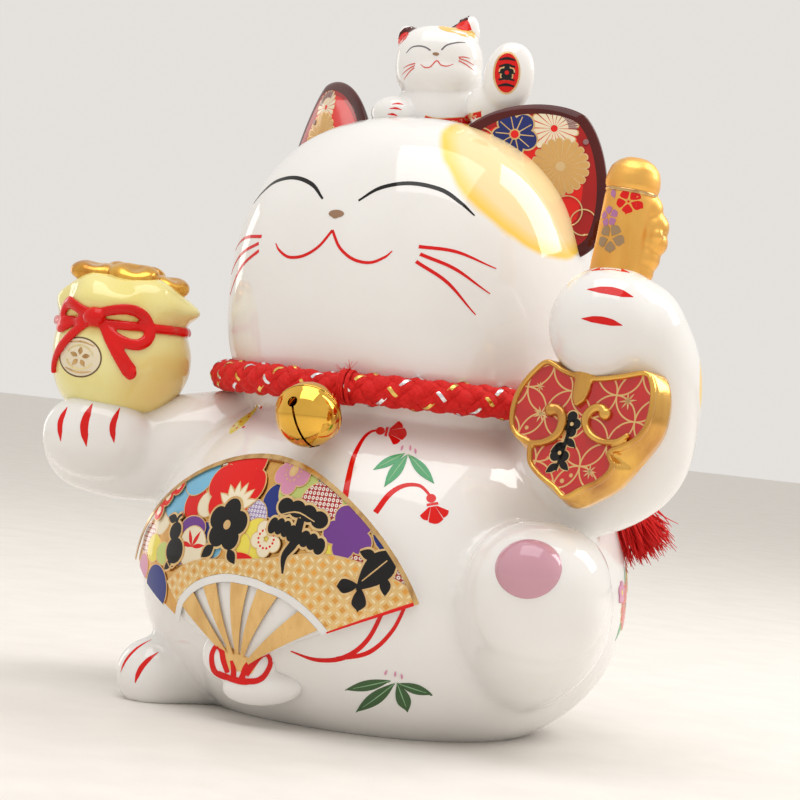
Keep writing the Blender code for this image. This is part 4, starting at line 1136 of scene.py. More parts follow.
def fan_panel():
    """The raised fan, its edge rounded down into the belly."""
    radii = [*np.linspace(1, FAN_RADIUS - 3, 40), *(FAN_RADIUS - edge for edge in (2.2, 1.4, 0.7, 0.2, 0))]
    angles = np.linspace(-FAN_HALF_SPREAD, FAN_HALF_SPREAD, 121)
    work = bmesh.new()

    def lift(radius, angle):
        edge = FAN_RADIUS - radius
        side = math.radians(FAN_HALF_SPREAD - abs(angle)) * radius
        drop = max(1 - min(edge, side) / 2.4, 0.0)
        return FAN_PROUD * math.sqrt(max(1 - drop**2, 0.0)) - (1.5 if drop >= 1 else 0)

    for raised in (True, False):
        grid = [[work.verts.new(fan_spot(*fan_polar(radius, angle), lift(radius, angle) if raised else -4.0))
                 for angle in angles] for radius in radii]
        for near, far in zip(grid, grid[1:]):
            for j in range(len(angles) - 1):
                work.faces.new([near[j], far[j], far[j + 1], near[j + 1]])
    bmesh.ops.bridge_loops(work, edges=[edge for edge in work.edges if edge.is_boundary])
    bmesh.ops.recalc_face_normals(work, faces=work.faces)
    put("fan_panel", mesh_of([work]), "white", ("fan_relief",))


def gourd(grow):
    shapes = [disc(0, -3.4, 4.6, 4.3, grow=grow), disc(0, 3.0, 3.2, 3.0, grow=grow)]
    shapes += stroke([(0, 5.5), (0.8, 7.5), (2.6, 8.2)], (1.4, 0.9), 8, grow=grow)
    return shapes + [leaf((0.4, 6.6), (-5.2, 8.4), 3.0, grow), leaf((-1.5, -6.5), (-6.0, -9.0), 2.6, grow)]


def plum(grow):
    return [*blossom(0, 0, 8.2, size=0.44, grow=grow), disc(0, 0, 3.4, grow=grow),
            leaf((-3, -7), (-7.5, -11.5), 3.6, grow), leaf((3, -7), (7.0, -11.0), 3.4, grow)]


def pine(grow):
    shapes = []
    for x, y, wide in ((0, 6.5, 10.5), (-4.5, 0, 6.0), (5.5, -0.6, 6.5)):
        for dx in np.linspace(-0.62, 0.62, 4):
            shapes.append(disc(x + dx * wide, y + 0.6 * (1 - (dx / 0.62) ** 2), 0.36 * wide * 0.8, 2.5, grow=grow))
    return shapes + stroke([(0.5, 5), (1.2, -2), (-0.5, -7), (0.8, -12)], (2.6, 3.0, 2.2, 0.6), 14, grow=grow)


def carp(grow):
    return [leaf((7.8, 6.5), (-5.5, -5.5), 9.0, grow, 0.4), leaf((-4.2, -4.0), (-11.5, -4.0), 4.6, grow, 0.7),
            leaf((-4.0, -4.2), (-5.0, -12.0), 4.6, grow, 0.7), leaf((1.5, 4.5), (-4.0, 6.5), 3.4, grow),
            leaf((3.8, -1.5), (3.4, -7.5), 3.4, grow)]


FAN_MOTIFS = ((gourd, -30.5, 37, 14, 0.98), (plum, -7.5, 44.5, -4, 1.02), (pine, 19.5, 44.5, -12, 1.04),
              (carp, 47.0, 36.0, 8, 0.98))  # drawing, x, y, turn and size


def dots_round(x, y, reach, step, radius):
    return [disc(x + reach * math.cos(t), y + reach * math.sin(t), radius, count=8)
            for t in np.radians(np.arange(0, 360, step))]


def rayed(x, y, wide, high, width, angles):
    """Leaves fanning up from a point, at angles from straight up."""
    return [leaf((x, y), (x + wide * math.sin(t), y + high * math.cos(t)), width) for t in np.radians(angles)]


def fan_art():
    """The fan's enamels: patches, flowers, hills, ribs and four black motifs."""
    layers = [("fan_gold", [wedge(lambda a: rib_end(a, 2.2), 66.4, -65.2, 65.2, 40)])]

    def flower(ink, x, y, radius, petals, turn, edge, *heart):
        layers.extend([("ink_gold", blossom(x, y, radius, petals, turn, grow=edge)),
                       (ink, blossom(x, y, radius, petals, turn))])
        if heart:
            layers.append((ink, [disc(x, y, *heart)]))

    for ink, x, y, radius, flat in FAN_PATCHES:
        layers += [("ink_gold", [disc(x, y, radius, radius * flat, grow=0.35)]),
                   (ink, [disc(x, y, radius, radius * flat)])]
    layers.append(("ink_red", [leaf((-21.5, 36), (-21.5 + 6 * math.cos(t), 36 + 6 * math.sin(t)), 1.5)
                               for t in np.radians((10, 62, 118, 170))]))
    flower("ink_red", -10, 57.5, 12.6, 6, 60, 0.35, 7, 5)
    rays = (-62, -35, -10, 14, 40, 66)
    layers += [("ink_gold", rayed(-7, 50, 9.6, 8.6, 3.4, rays)), ("ink_cream", rayed(-7, 50, 9, 8, 2.5, rays)),
               ("ink_green", [disc(-7, 51, 3.6, 2.6)])]
    flower("ink_pink", 12.5, 63.5, 7.4, 5, 270, 0.3, 3.6)
    layers.append(("ink_gold", [disc(12.5, 63.5, 1.8)] + dots_round(12.5, 63.5, 3.1, 30, 0.35)))
    flower("ink_purple", 38, 47, 8.4, 5, 40, 0.4, 4.4)
    flower("ink_cream", 9.5, 42, 5.8, 5, 120, 0.3)
    layers += [("ink_red", dots_round(9.5, 42, 3.0, 26, 0.42)), ("ink_red", [disc(0.5, 34.5, 5.2, 2.2)])]
    for ink, radius in (("ink_gold", 3.3), ("ink_red", 3.0), ("ink_cream", 1.4)):
        layers.append((ink, [disc(x, y, radius) for x, y in ((-43, 50), (-39, 54), (-46, 45))]))
    band = [tuple(spot) for spot in smooth_path(FAN_HILLS, 40)]
    band += [fan_polar(rib_end(a, 2.4), a) for a in np.linspace(65.2, -56, 40)]
    white = wedge(lambda a: rib_end(a, -0.2), lambda a: rib_end(a, 2.3), -65.4, 65.4, 40)
    layers += [("ink_gold", stroke(FAN_HILLS, (0.9, 0.9), 40)), ("shippo_orange", [band]), ("ink_white", [white]),
               ("rib_gold", [wedge(5, lambda a: rib_end(a, -0.3), *rib) for rib in FAN_RIBS])]
    for ink, grow in (("ink_gold", 0.75), ("ink_black", 0.0)):
        layers.append((ink, [shape for draw, *place in FAN_MOTIFS for shape in moved(draw(grow), *place)]))
    sparks = [disc(-7.5, 44.5, 1.5)] + stroke([(-33, 30), (-30, 28), (-27, 30)], (0.35, 0.5, 0.35), 8)
    sparks += stroke([(44, 33), (47, 36), (51, 40)], (0.3, 0.45, 0.3), 8) + [disc(52.3, 42.0, 0.7)]
    sparks += stroke([(12, 49.5), (19, 51.2), (26, 49)], (0.3, 0.5, 0.3), 8)
    layers += [("ink_gold", sparks), ("rim_gold", [wedge(66.1, 67.6, -65.6, 65.6, 60)]),
               ("ribbon_red", stroke([fan_polar(38, 65.2), fan_polar(66, 65.2)], (0.5, 1.2), 10))]
    trim = [fan_polar(67.6, angle) for angle in np.linspace(65.7, -65.7, 50)] + [(0, -0.4)]
    enamel("fan_enamels", lambda x, y: (fan_spot(x, y), (fan_spot(x, y, 4) - fan_spot(x, y, 2)).normalized()),
           layers, "fan_enamel", cell=2.0, lift=0.06, step=0.012, within=trim)


def fan_boss():
    """The rounded boss at the fan's foot and the lobe that trails from it."""
    centre = fan_spot(0.0, 1.5, 1.0)
    return fuse([
        ball(centre + Vector((-1.8, 0.2, 0.8)), (13.2, 3.6, 8.6), 2.3, turn=(0, 0, 8), rings=32),
        ball(centre + Vector((6.5, 2.2, -7.6)), (13.5, 4.4, 5.6), turn=(0, -8, 14), rings=32),
    ], 0.7, 14)


def fan_bow(boss, tree):
    """The boss with its gilding and the red enamelled bow laid over it."""
    put("fan_boss", boss, "white")
    gold = [(-4.6, -3.4), (4.4, -3.4), (5.6, 0.0), (5.0, 4.4), (2.0, 7.4), (-2.0, 7.4), (-5.0, 4.2), (-5.4, 0.0)]
    widths = (1.3, 1.6, 1.7, 1.4, 1.3, 1.6, 1.7, 1.4)
    loops = []
    for stations, width, count in (
        ([(-0.4, -5.4), (-3.6, -6.2), (-7.4, -5.0), (-9.0, -0.6), (-8.0, 2.7), (-6.2, 1.8), (-5.0, -1.2),
          (-3.2, -4.6)], widths, 44),
        ([(0.6, -5.4), (4.6, -5.8), (8.0, -3.8), (9.6, 0.6), (8.4, 3.2), (6.4, 2.6), (4.4, -0.6), (2.8, -4.2)],
         widths, 44),
        ([(1.6, -5.0), (2.4, -1.6), (4.3, 2.0)], (1.7, 1.9, 0.8), 12),
        ([(-1.2, -5.2), (-1.5, -3.0), (-2.6, -0.6)], (1.7, 1.6, 0.8), 12),
        ([(-6.2, -5.2), (-2.0, -6.2), (2.5, -6.2), (7.0, -4.8)], (1.2, 2.0, 2.0, 1.2), 20),
    ):
        loops += stroke(stations, width, count)
    enamel("fan_bow", canvas(tree, (-4.9, -71.4, 20.4), aim(VIEW_AZIMUTH), turn=-3),
           [("rib_gold", [gold]), ("ribbon_red", loops)], cell=1.2, lift=0.12, step=0.15, thick=0.6)


# ---------------------------------------------------------------- bag, ribbon and coins

BAG_CLOTH = (  # radius and height
    (15.0, 136.2), (17.6, 134.6), (20.2, 132.2), (21.9, 129.4), (22.2, 126.8), (21.6, 123.6), (21.2, 120.8),
    (22.2, 117.5), (23.2, 112), (22.7, 105), (20.2, 98.5), (16.0, 93.4), (11, 90.2), (7, 88.6),
)
NUGGETS = (  # x and y from the bag's axis, height, tilt, turn and half length
    (-6.2, -9.8, 137.8, 12, 28, 7.8), (7.0, -5.4, 137.6, 26, 30, 8.8), (14.2, 5.2, 135.2, 16, 62, 7.0),
    (-9.5, 4.0, 137.6, -8, -30, 7.0), (2.5, 6.5, 138.2, -14, 10, 7.4), (-1.0, 0.5, 138.8, 5, 75, 7.0),
)


def bag():
    """The cloth bag: its gathered mouth flares and folds above the tie."""
    rows, columns = 84, 144
    work = bmesh.new()
    grid = []
    for reach, height in smooth_path(BAG_CLOTH, rows):
        collar = math.exp(-((height - 129.0) / 4.6) ** 2)
        tie = math.exp(-((height - 121.0) / 2.6) ** 2)
        belly = math.exp(-((height - 108) / 12) ** 2)
        grid.append([])
        for azimuth in np.arange(columns) * 360 / columns:
            t = math.radians(azimuth)
            flare = 2.9 * math.exp(-(((azimuth - 112 + 180) % 360 - 180) / 30) ** 2)
            folds = 0.9 * math.sin(4 * t + 0.5) + 0.55 * math.sin(9 * t + 2.0)
            creases = 0.4 * math.sin(11 * t) + 0.3 * math.sin(17 * t + 1)
            sag = 0.45 * math.sin(3 * t + 1) + 0.7 * math.sin(t - 0.9)
            radius = reach + collar * (folds + flare) + tie * creases + belly * sag
            rise = 1.3 * math.exp(-((height - 134) / 3.4) ** 2) * math.sin(4 * t + 2.2) - 0.5 * collar * flare
            grid[-1].append(work.verts.new((BAG_AXIS[0] + radius * math.sin(t), BAG_AXIS[1] - radius * math.cos(t),
                                            height + rise)))
    for upper, lower in zip(grid, grid[1:]):
        for j in range(columns):
            work.faces.new((upper[j], upper[(j + 1) % columns], lower[(j + 1) % columns], lower[j]))
    work.faces.new(grid[0])
    work.faces.new(grid[-1][::-1])
    bmesh.ops.recalc_face_normals(work, faces=work.faces)
    mesh = mesh_of([work])
    tree = tree_of(mesh)
    put("money_bag_glazed", mesh, "cream", ("money_bag",))
    return tree


def bag_ribbon(tree):
    """The red band with its bow, modelled in slip and enamelled, and the round badge under it."""
    axis = Vector((*BAG_AXIS, 0))

    def on_bag(azimuth, height, lift=0.6):
        outward = aim(azimuth + 0.013)  # clear of the cloth's own vertex columns
        spot, normal, _, _ = tree.ray_cast(axis + outward * 60 + Vector((0, 0, height)), -outward)
        return spot + normal * lift, normal

    def strap(stations, shares, widths):
        spots = [on_bag(*station) for station in smooth_path(stations, 60)]
        return sweep(*zip(*spots), np.interp(np.linspace(0, 1, 60), shares, widths), 0.95, sides=16)

    band = [on_bag(azimuth, 120.4) for azimuth in np.linspace(0, 360, 120, endpoint=False)]
    forms = [
        sweep(*zip(*band), 1.65, 0.95, sides=16, closed=True),
        strap(((14, 122.6), (22.6, 124.4), (41.9, 125.9), (57, 124.2), (64, 120.0), (60, 116.0), (49.5, 114.4),
               (34.4, 116.2), (23, 120.3), (15, 122)), (0, 0.2, 0.5, 0.8, 1), (1.5, 1.9, 2.1, 1.9, 1.4)),
        strap(((14, 122.8), (5, 123.9), (-12.3, 126.4), (-22.7, 124.4), (-28.2, 118.8), (-21, 118.0),
               (-4.8, 120.4), (10, 122)), (0, 0.3, 0.6, 1), (1.6, 2.2, 1.9, 1.5)),
        strap(((16, 121.5), (23.8, 119.4), (32.6, 114.3), (41, 109.6), (49.0, 105.6)), (0, 1), (1.6, 2.7)),
        strap(((12, 121.5), (7, 120.2), (-9.6, 114.3), (-26.3, 107.6), (-33, 102.9)), (0, 0.6, 1), (1.6, 1.9, 0.8)),
        ball(on_bag(14, 122.6, 1.0)[0], (4.1, 2.7, 3.3), segments=40, rings=24),
        ball(on_bag(49.4, 105.3, 0.4)[0], (2.4, 1.6, 2.3), segments=32, rings=20),
    ]
    put("bag_ribbon_tied", fuse(forms, 0.38, 5), "ribbon_red", ("bag_ribbon",))
    marks = [leaf((0.9 * math.cos(t), 0.9 * math.sin(t)), (3.6 * math.cos(t), 3.4 * math.sin(t)), 1.5)
             for t in np.radians(90 + np.arange(5) * 72)]
    for low, middle in ((-4.1, -5.0), (4.3, 5.1)):
        side = 4.6 if low < 0 else 4.4
        marks += stroke([(-side, low), (0, middle), (side, low)], (0.3, 0.6, 0.3), 12)
    halves = [quad for start in (200, 20)
              for quad in ring(0, 0, 4.7, 3.9, width=0.55, start=start, end=start + 140, count=18)]
    enamel("bag_badge", canvas(tree, on_bag(6.3, 108.8)[0], aim(VIEW_AZIMUTH), turn=-4), [
        ("ink_cream", [disc(0, 0, 7.2, 6.2)]), ("ink_umber", ring(0, 0, 7.4, 6.4, width=0.5)),
        ("ink_pale_gold", halves), ("rim_gold", marks),
    ], "cream_glaze", cell=1.8, lift=0.06)


def bag_coins():
    """Gold nuggets heaped in the bag's mouth, each an oval with a valley across it."""
    x, y = BAG_AXIS
    forms = []
    for dx, dy, z, tilt, turn, reach in NUGGETS:
        nugget = mesh_of([ball((0, 0, 0), (reach, 6.0, 3.7), 2.2, segments=72, rings=40)])
        for vert in nugget.vertices:
            valley = math.exp(-((vert.co.x / reach - 0.1) / 0.34) ** 2) * math.exp(-(vert.co.y / 4.2) ** 2)
            vert.co.z -= 1.5 * valley * (vert.co.z > 0)
        spin = Matrix.Rotation(math.radians(turn), 4, "Z") @ Matrix.Rotation(math.radians(tilt), 4, "X")
        nugget.transform(Matrix.Translation((x + dx, y + dy, z)) @ spin)
        forms.append(form_of(nugget))
    forms.append(ball((x, y, 134.5), (14, 12.5, 4)))
    heap = fuse(forms, 0.42, 3)
    put("bag_coin_heap", heap, "coin_gold", ("bag_coins",))
    spot = canvas(tree_of(heap), (x - 6, y - 12, 137.2), aim(VIEW_AZIMUTH) + Vector((0, 0, 0.1)))
    enamel("coin_accent", spot, [("ink_red", [leaf((-5.4, -1.4), (3.8, -0.4), 1.3)])], cell=1.2, lift=0.1)


# ---------------------------------------------------------------- ruyi sceptre

RUYI_TILT = 12.0
RUYI_MIDDLE = Vector((94.5, -48.0, 99.0))
RUYI_LEFT_EDGE = (
    (-17.2, 23.6), (-21.6, 20.0), (-25.0, 14.6), (-26.3, 8.6), (-25.6, 2.8), (-22.6, -0.8), (-18.2, -2.4),
    (-17.6, -5.4), (-16.4, -8.8), (-12.2, -12.3), (-7.0, -15.0), (-2.4, -18.0),
)
RUYI_RIGHT_EDGE = (
    (2.6, -14.9), (7.2, -12.4), (10.6, -9.2), (11.4, -5.8), (9.6, -2.8), (12.6, -1.4), (16.8, 1.4), (19.6, 5.4),
    (20.4, 10.2), (20.2, 15.2), (19.0, 19.6), (16.0, 22.8),
)
RUYI_TOP_EDGE = ((8.0, 21.0), (-1.0, 19.6), (-10.0, 20.8))


def cloud_outline(grow=0.0):
    """The cloud head's outline in its own plane, counterclockwise from the top left, grown or shrunk by a margin."""
    corners = RUYI_LEFT_EDGE + RUYI_RIGHT_EDGE + RUYI_TOP_EDGE
    loop = smooth_path(corners + corners[:4], 8 * (len(corners) + 3) + 1)[8 : 8 + 8 * len(corners)]
    points = np.array(loop)
    along = np.roll(points, -1, 0) - np.roll(points, 1, 0)
    along /= np.linalg.norm(along, axis=1)[:, None]
    return relaxed(points + grow * np.stack([along[:, 1], -along[:, 0]], 1), 1 + int(2 * abs(grow)))


def relaxed(points, times=3):
    for _ in range(times):
        points = 0.25 * np.roll(points, 1, 0) + 0.5 * points + 0.25 * np.roll(points, -1, 0)
    return points


def filled_out(outline):
    """The outline with its notches bridged, point for point."""
    middle = outline.mean(0)
    turns = np.radians(np.arange(0, 360, 3))
    support = ((outline - middle) @ np.array([np.cos(turns), np.sin(turns)])).max(0)
    bridged = []
    for x, z in outline - middle:
        facing = np.cos(turns - math.atan2(z, x))
        reach = (support[facing > 0.05] / facing[facing > 0.05]).min()
        bridged.append(middle + np.array([x, z]) * reach / math.hypot(x, z))
    return relaxed(np.array(bridged), 8)


def ruyi_frame():
    return Matrix.Translation(RUYI_MIDDLE) @ Matrix.Rotation(math.radians(-RUYI_TILT), 4, "X")


RUYI_SLICES = (  # depth behind the face, share of the plump back's outline, and scale
    (0.6, 0.0, 0.90), (0.0, 0.0, 0.965), (0.0, 0.0, 1.0), (1.4, 0.12, 1.02), (4.0, 0.45, 1.03), (7.5, 0.8, 1.04),
    (11.0, 1.0, 0.98), (13.5, 1.0, 0.86), (14.5, 1.0, 0.60),
)
RUYI_SCROLLS = (  # stations, share of the length and half widths
    (((-22.6, -0.4), (-18.4, -2.2), (-13.2, -1.6), (-9.3, 1.2), (-8.4, 5.2), (-10.0, 8.4), (-13.4, 9.0)),
     (0, 0.3, 0.7, 1), (0.9, 1.15, 1.6, 1.8)),
    (((14.4, 3.4), (10.8, 0.9), (6.0, 0.6), (1.4, 2.6), (-0.9, 6.4), (0.6, 9.8), (3.8, 10.6), (5.8, 8.6)),
     (0, 0.3, 0.7, 1), (0.9, 1.15, 1.5, 1.3)),
)


def ruyi_head():
    """The gold cloud: a plump back, a raised rim curling into two scrolls, and a red face of interlocking circles."""
    place = ruyi_frame()
    out, up = (place.to_3x3() @ Vector(axis) for axis in ((0, -1, 0), (0, 0, 1)))
    face = cloud_outline()
    plump = filled_out(cloud_outline(1.2))
    work = bmesh.new()
    rings = []
    for depth, share, scale in RUYI_SLICES:
        outline = (face * (1 - share) + plump * share) * scale
        rings.append([work.verts.new(place @ Vector((x, depth, z))) for x, z in outline])
    for near, far in zip(rings, rings[1:]):
        for j in range(len(near)):
            work.faces.new((near[j], near[(j + 1) % len(near)], far[(j + 1) % len(far)], far[j]))
    work.faces.new(rings[0][::-1])
    work.faces.new(rings[-1])
    bmesh.ops.recalc_face_normals(work, faces=work.faces)
    base = fuse([work], 0.6, 3)

    def relief(points, widths, proud, closed=False):
        points = [place @ Vector((x, 0, z)) for x, z in points]
        return sweep(points, [out] * len(points), widths, proud, sides=14, closed=closed)

    def curl(stations, shares, widths, proud, count):
        return relief(smooth_path(stations, count), np.interp(np.linspace(0, 1, count), shares, widths), proud)

    forms = [relief(cloud_outline(-0.5), 0.95, 1.3, closed=True)]
    forms += [curl(*scroll, 1.4, 60) for scroll in RUYI_SCROLLS]
    forms += [ball(place @ Vector((x, 0, z)), (2.1, 1.7, 2.1), segments=32, rings=20)
              for x, z in ((-13.0, 8.4), (5.2, 8.9))]
    forms.append(curl(((-4.0, 21.5), (-4.2, 16.0), (-4.5, 10.2)), (0, 0.6, 0.85, 1), (3.4, 2.9, 2.2, 0.5), 1.7, 30))
    trim = fuse(forms, 0.4, 4)
    put("ruyi_cloud_head", mesh_of([form_of(base), form_of(trim)]), "gold", ("ruyi_head",))
    star = [disc(0, 0, 0.7)] + [leaf((0, 0), (2.7 * math.cos(t), 2.7 * math.sin(t)), 0.5)
                                for t in np.radians(np.arange(0, 360, 45))]
    stars = [shape for place_and_size in ((11.5, 13.6, 10, 1.05), (-16.4, 7.0, 25, 1.0), (3.6, -8.8, 0, 0.85),
                                          (-18.6, 15.4, 5, 0.6)) for shape in moved(star, *place_and_size)]
    heads = ((-5.6, 7.2), (-4.0, 5.0), (-7.0, 4.4), (-5.0, 2.6), (-7.6, -2.6), (-5.8, -5.0), (-8.8, -5.2))
    stem = [(-5.2, 6), (-6.0, 1), (-6.6, -4), (-7.6, -9.6)]
    leaves = (((-6.3, -1.0), (-10.6, -4.2)), ((-6.4, 0.4), (-2.6, -2.0)), ((-7.0, -6.6), (-3.4, -9.2)),
              ((-7.2, -7.4), (-10.8, -10.6)))
    layers = [("shippo_red", [[tuple(point) for point in cloud_outline(-0.9)]]), ("ink_gold", stars)]
    for ink, radius, widths, grow in (("ink_gold", 2.0, (2.0, 2.0, 1.6), 0.3),
                                      ("ink_black", 1.65, (1.2, 1.2, 0.8), 0)):
        layers.append((ink, [disc(x, z, radius) for x, z in heads] + stroke(stem, widths, 18)
                       + [leaf(*ends, 2.3, grow) for ends in leaves]))
    layers.append(("ink_gold", [disc(-5.3, 4.9, 0.6), disc(-7.4, -4.2, 0.6)]))
    spot = canvas(tree_of(base), place @ Vector((0, -6, 0)), out, up=up)
    enamel("ruyi_face", spot, layers, lift=0.12, step=0.05)


RUYI_FOOT = 146.0
RUYI_TOP = 186.0
RUYI_PROFILE = (  # radius and depth below the top
    (0, 0), (3.2, 0.35), (5.6, 1.6), (7.4, 3.6), (8.2, 6.2), (8.4, 8.4), (8.1, 9.8), (7.5, 10.4), (7.5, 11.2),
    (7.8, 12.2), (7.9, 26), (8.5, 44), (0, 44.2),
)
RUYI_SCROLL = ((5.6, 171, 5.0), (8.4, 166, 5.0), (9.2, 161.5, 4.6), (7.4, 156.5, 5.0), (6.6, 152, 4.6))


def ruyi_stem():
    """The handle's end above the paw: a domed cap, a groove and a scrolled side, leaning a little. A darker gold
    ring in the groove is painted shade.
    """
    out, right = aim(VIEW_AZIMUTH), aim(VIEW_AZIMUTH + 90)
    foot = Vector((RUYI_AXIS_X + 1.5, -31, RUYI_FOOT)) - right * 2.0
    lean = Matrix.Translation(foot) @ Matrix.Rotation(math.radians(-5.0), 4, out) @ Matrix.Translation(-foot)
    shaft = turned([(radius, RUYI_TOP - depth) for radius, depth in RUYI_PROFILE], (foot.x, foot.y, 0))
    scroll = [ball(foot + right * reach + Vector((0, 0, z - RUYI_FOOT)), (r, 5.2, r), turn=(0, 0, VIEW_AZIMUTH),
                   rings=32) for reach, z, r in RUYI_SCROLL]
    eye = ball(foot + right * 9.2 + out * 4.0 + Vector((0, 0, 163.5 - RUYI_FOOT)), (2.4, 1.8, 2.4), segments=32,
               rings=20)
    stem = fuse([form_of(shaft), *scroll, eye], 0.5, 5)
    stem.transform(lean)
    tree = tree_of(stem)
    put("ruyi_stem", stem, "satin_gold", ("ruyi_handle",))

    def petals(x, y, radius, turn):
        return [leaf(*((x + reach * math.cos(t), y + reach * math.sin(t)) for reach in (0.2 * radius, radius)),
                     0.78 * radius, belly=0.68) for t in np.radians(turn + np.arange(5) * 72)]

    enamel("ruyi_flowers", canvas(tree, (92, -39, 165), (0, -1, 0), turn=-4), [
        ("ink_red", petals(3.5, 7.0, 3.7, 55) + [disc(3.5, 7.0, 0.35)]),
        ("ink_mauve", petals(-1.8, 1.8, 3.2, 30) + [leaf((-2.6, 10.2), (-1.0, 7.4), 1.8)]),
        ("ink_bronze", petals(0.1, -4.6, 4.4, 65)),
    ], cell=1.6, lift=0.08)
    # a ring of darker gold laid in the groove below the cap: painted shade, standing in for the groove's shadow
    groove = turned(((7.35, 0.7), (7.85, 0.5), (7.95, 0), (7.85, -0.5), (7.35, -0.7), (7.35, 0.7)),
                    (foot.x, foot.y, RUYI_TOP - 10.8))
    groove.transform(lean)
    put("ruyi_groove_painted_shade", groove, "rim_gold")


# ---------------------------------------------------------------- kitten

KITTEN_TURN = 24.0


def kitten_spot(across, back, height):
    """A point beside the kitten's middle in its own turned frame."""
    return KITTEN + aim(KITTEN_TURN + 90) * across - aim(KITTEN_TURN) * back + Vector((0, 0, height))


def kitten_clay():
    """Head, crouching body, paws, raised arm and ears."""
    x, y, z = KITTEN
    turn = (0, 0, KITTEN_TURN)
    fine, plain = dict(segments=96, rings=60), dict(segments=64, rings=40)
    return fuse([
        ball((x, y, z), (14.6, 13.0, 13.0), 2.5, turn=turn, **fine),
        ball(kitten_spot(0.6, -2.0, -3.6), (14.4, 11.6, 9.0), 2.2, turn=turn, **fine),
        ball((x + 1, y + 2, z - 14), (14.4, 13, 12), 2.2, turn=turn, **fine),
        ball((x - 9, y - 10, 200), (8.6, 7, 6), **plain),
        ball((x + 2, y + 8, z - 16), (17, 13, 8), **plain),
        ball((26.2, 3.4, 214.2), (8.2, 4.8, 11.9), 2.2, turn=(0, 6, 32), **plain),
        ball((21.5, 4.5, 204.5), (9.5, 5.6, 9), turn=(0, 0, 32), **plain),
        ball(kitten_spot(-10.6, 0.5, 7.6), (4.6, 3.4, 5.6), 1.7, turn=(0, -34, KITTEN_TURN), rings=32),
        ball(kitten_spot(7.8, 0.5, 10.6), (4.8, 3.4, 7.2), 1.7, turn=(0, 16, KITTEN_TURN), rings=32),
    ], 0.7, 5)


KITTEN_RED = (  # the insides of its ears
    ((-14.4, -4.9), (-14.5, -2.6), (-13.7, -1.0), (-12.4, -0.1), (-10.6, -0.2), (-10.3, -1.6), (-11.0, -3.2),
     (-12.6, -4.6)),
    ((4.2, 3.3), (5.2, 4.4), (6.8, 5.3), (8.2, 5.7), (9.2, 4.2), (10.0, 2.4), (8.6, 1.9), (7.0, 1.8), (5.4, 2.2)),
)
KITTEN_DARK = (  # its ears' tips
    ((-14.6, -2.4), (-14.2, -0.2), (-12.8, 1.4), (-10.4, 2.3), (-7.6, 2.0), (-8.8, 0.8), (-10.6, -0.2),
     (-12.4, -0.1), (-13.7, -1.0)),
    ((1.4, 3.2), (2.6, 4.9), (4.2, 6.2), (6.2, 7.2), (8.4, 7.4), (8.2, 5.7), (6.8, 5.3), (5.2, 4.4), (4.2, 3.3),
     (2.8, 3.0)),
)
KITTEN_PATCH = (
    (-1.2, 3.0), (0.2, 3.4), (1.6, 3.2), (3.0, 3.1), (4.4, 3.0), (5.4, 2.2), (7.0, 1.8), (8.6, 1.9), (10.2, 2.2),
    (11.2, 1.4), (11.4, 0.0), (9.4, -0.9), (7.4, -0.7), (5.6, 0.0), (3.0, 0.1), (0.8, 0.7), (-0.6, 1.6),
)


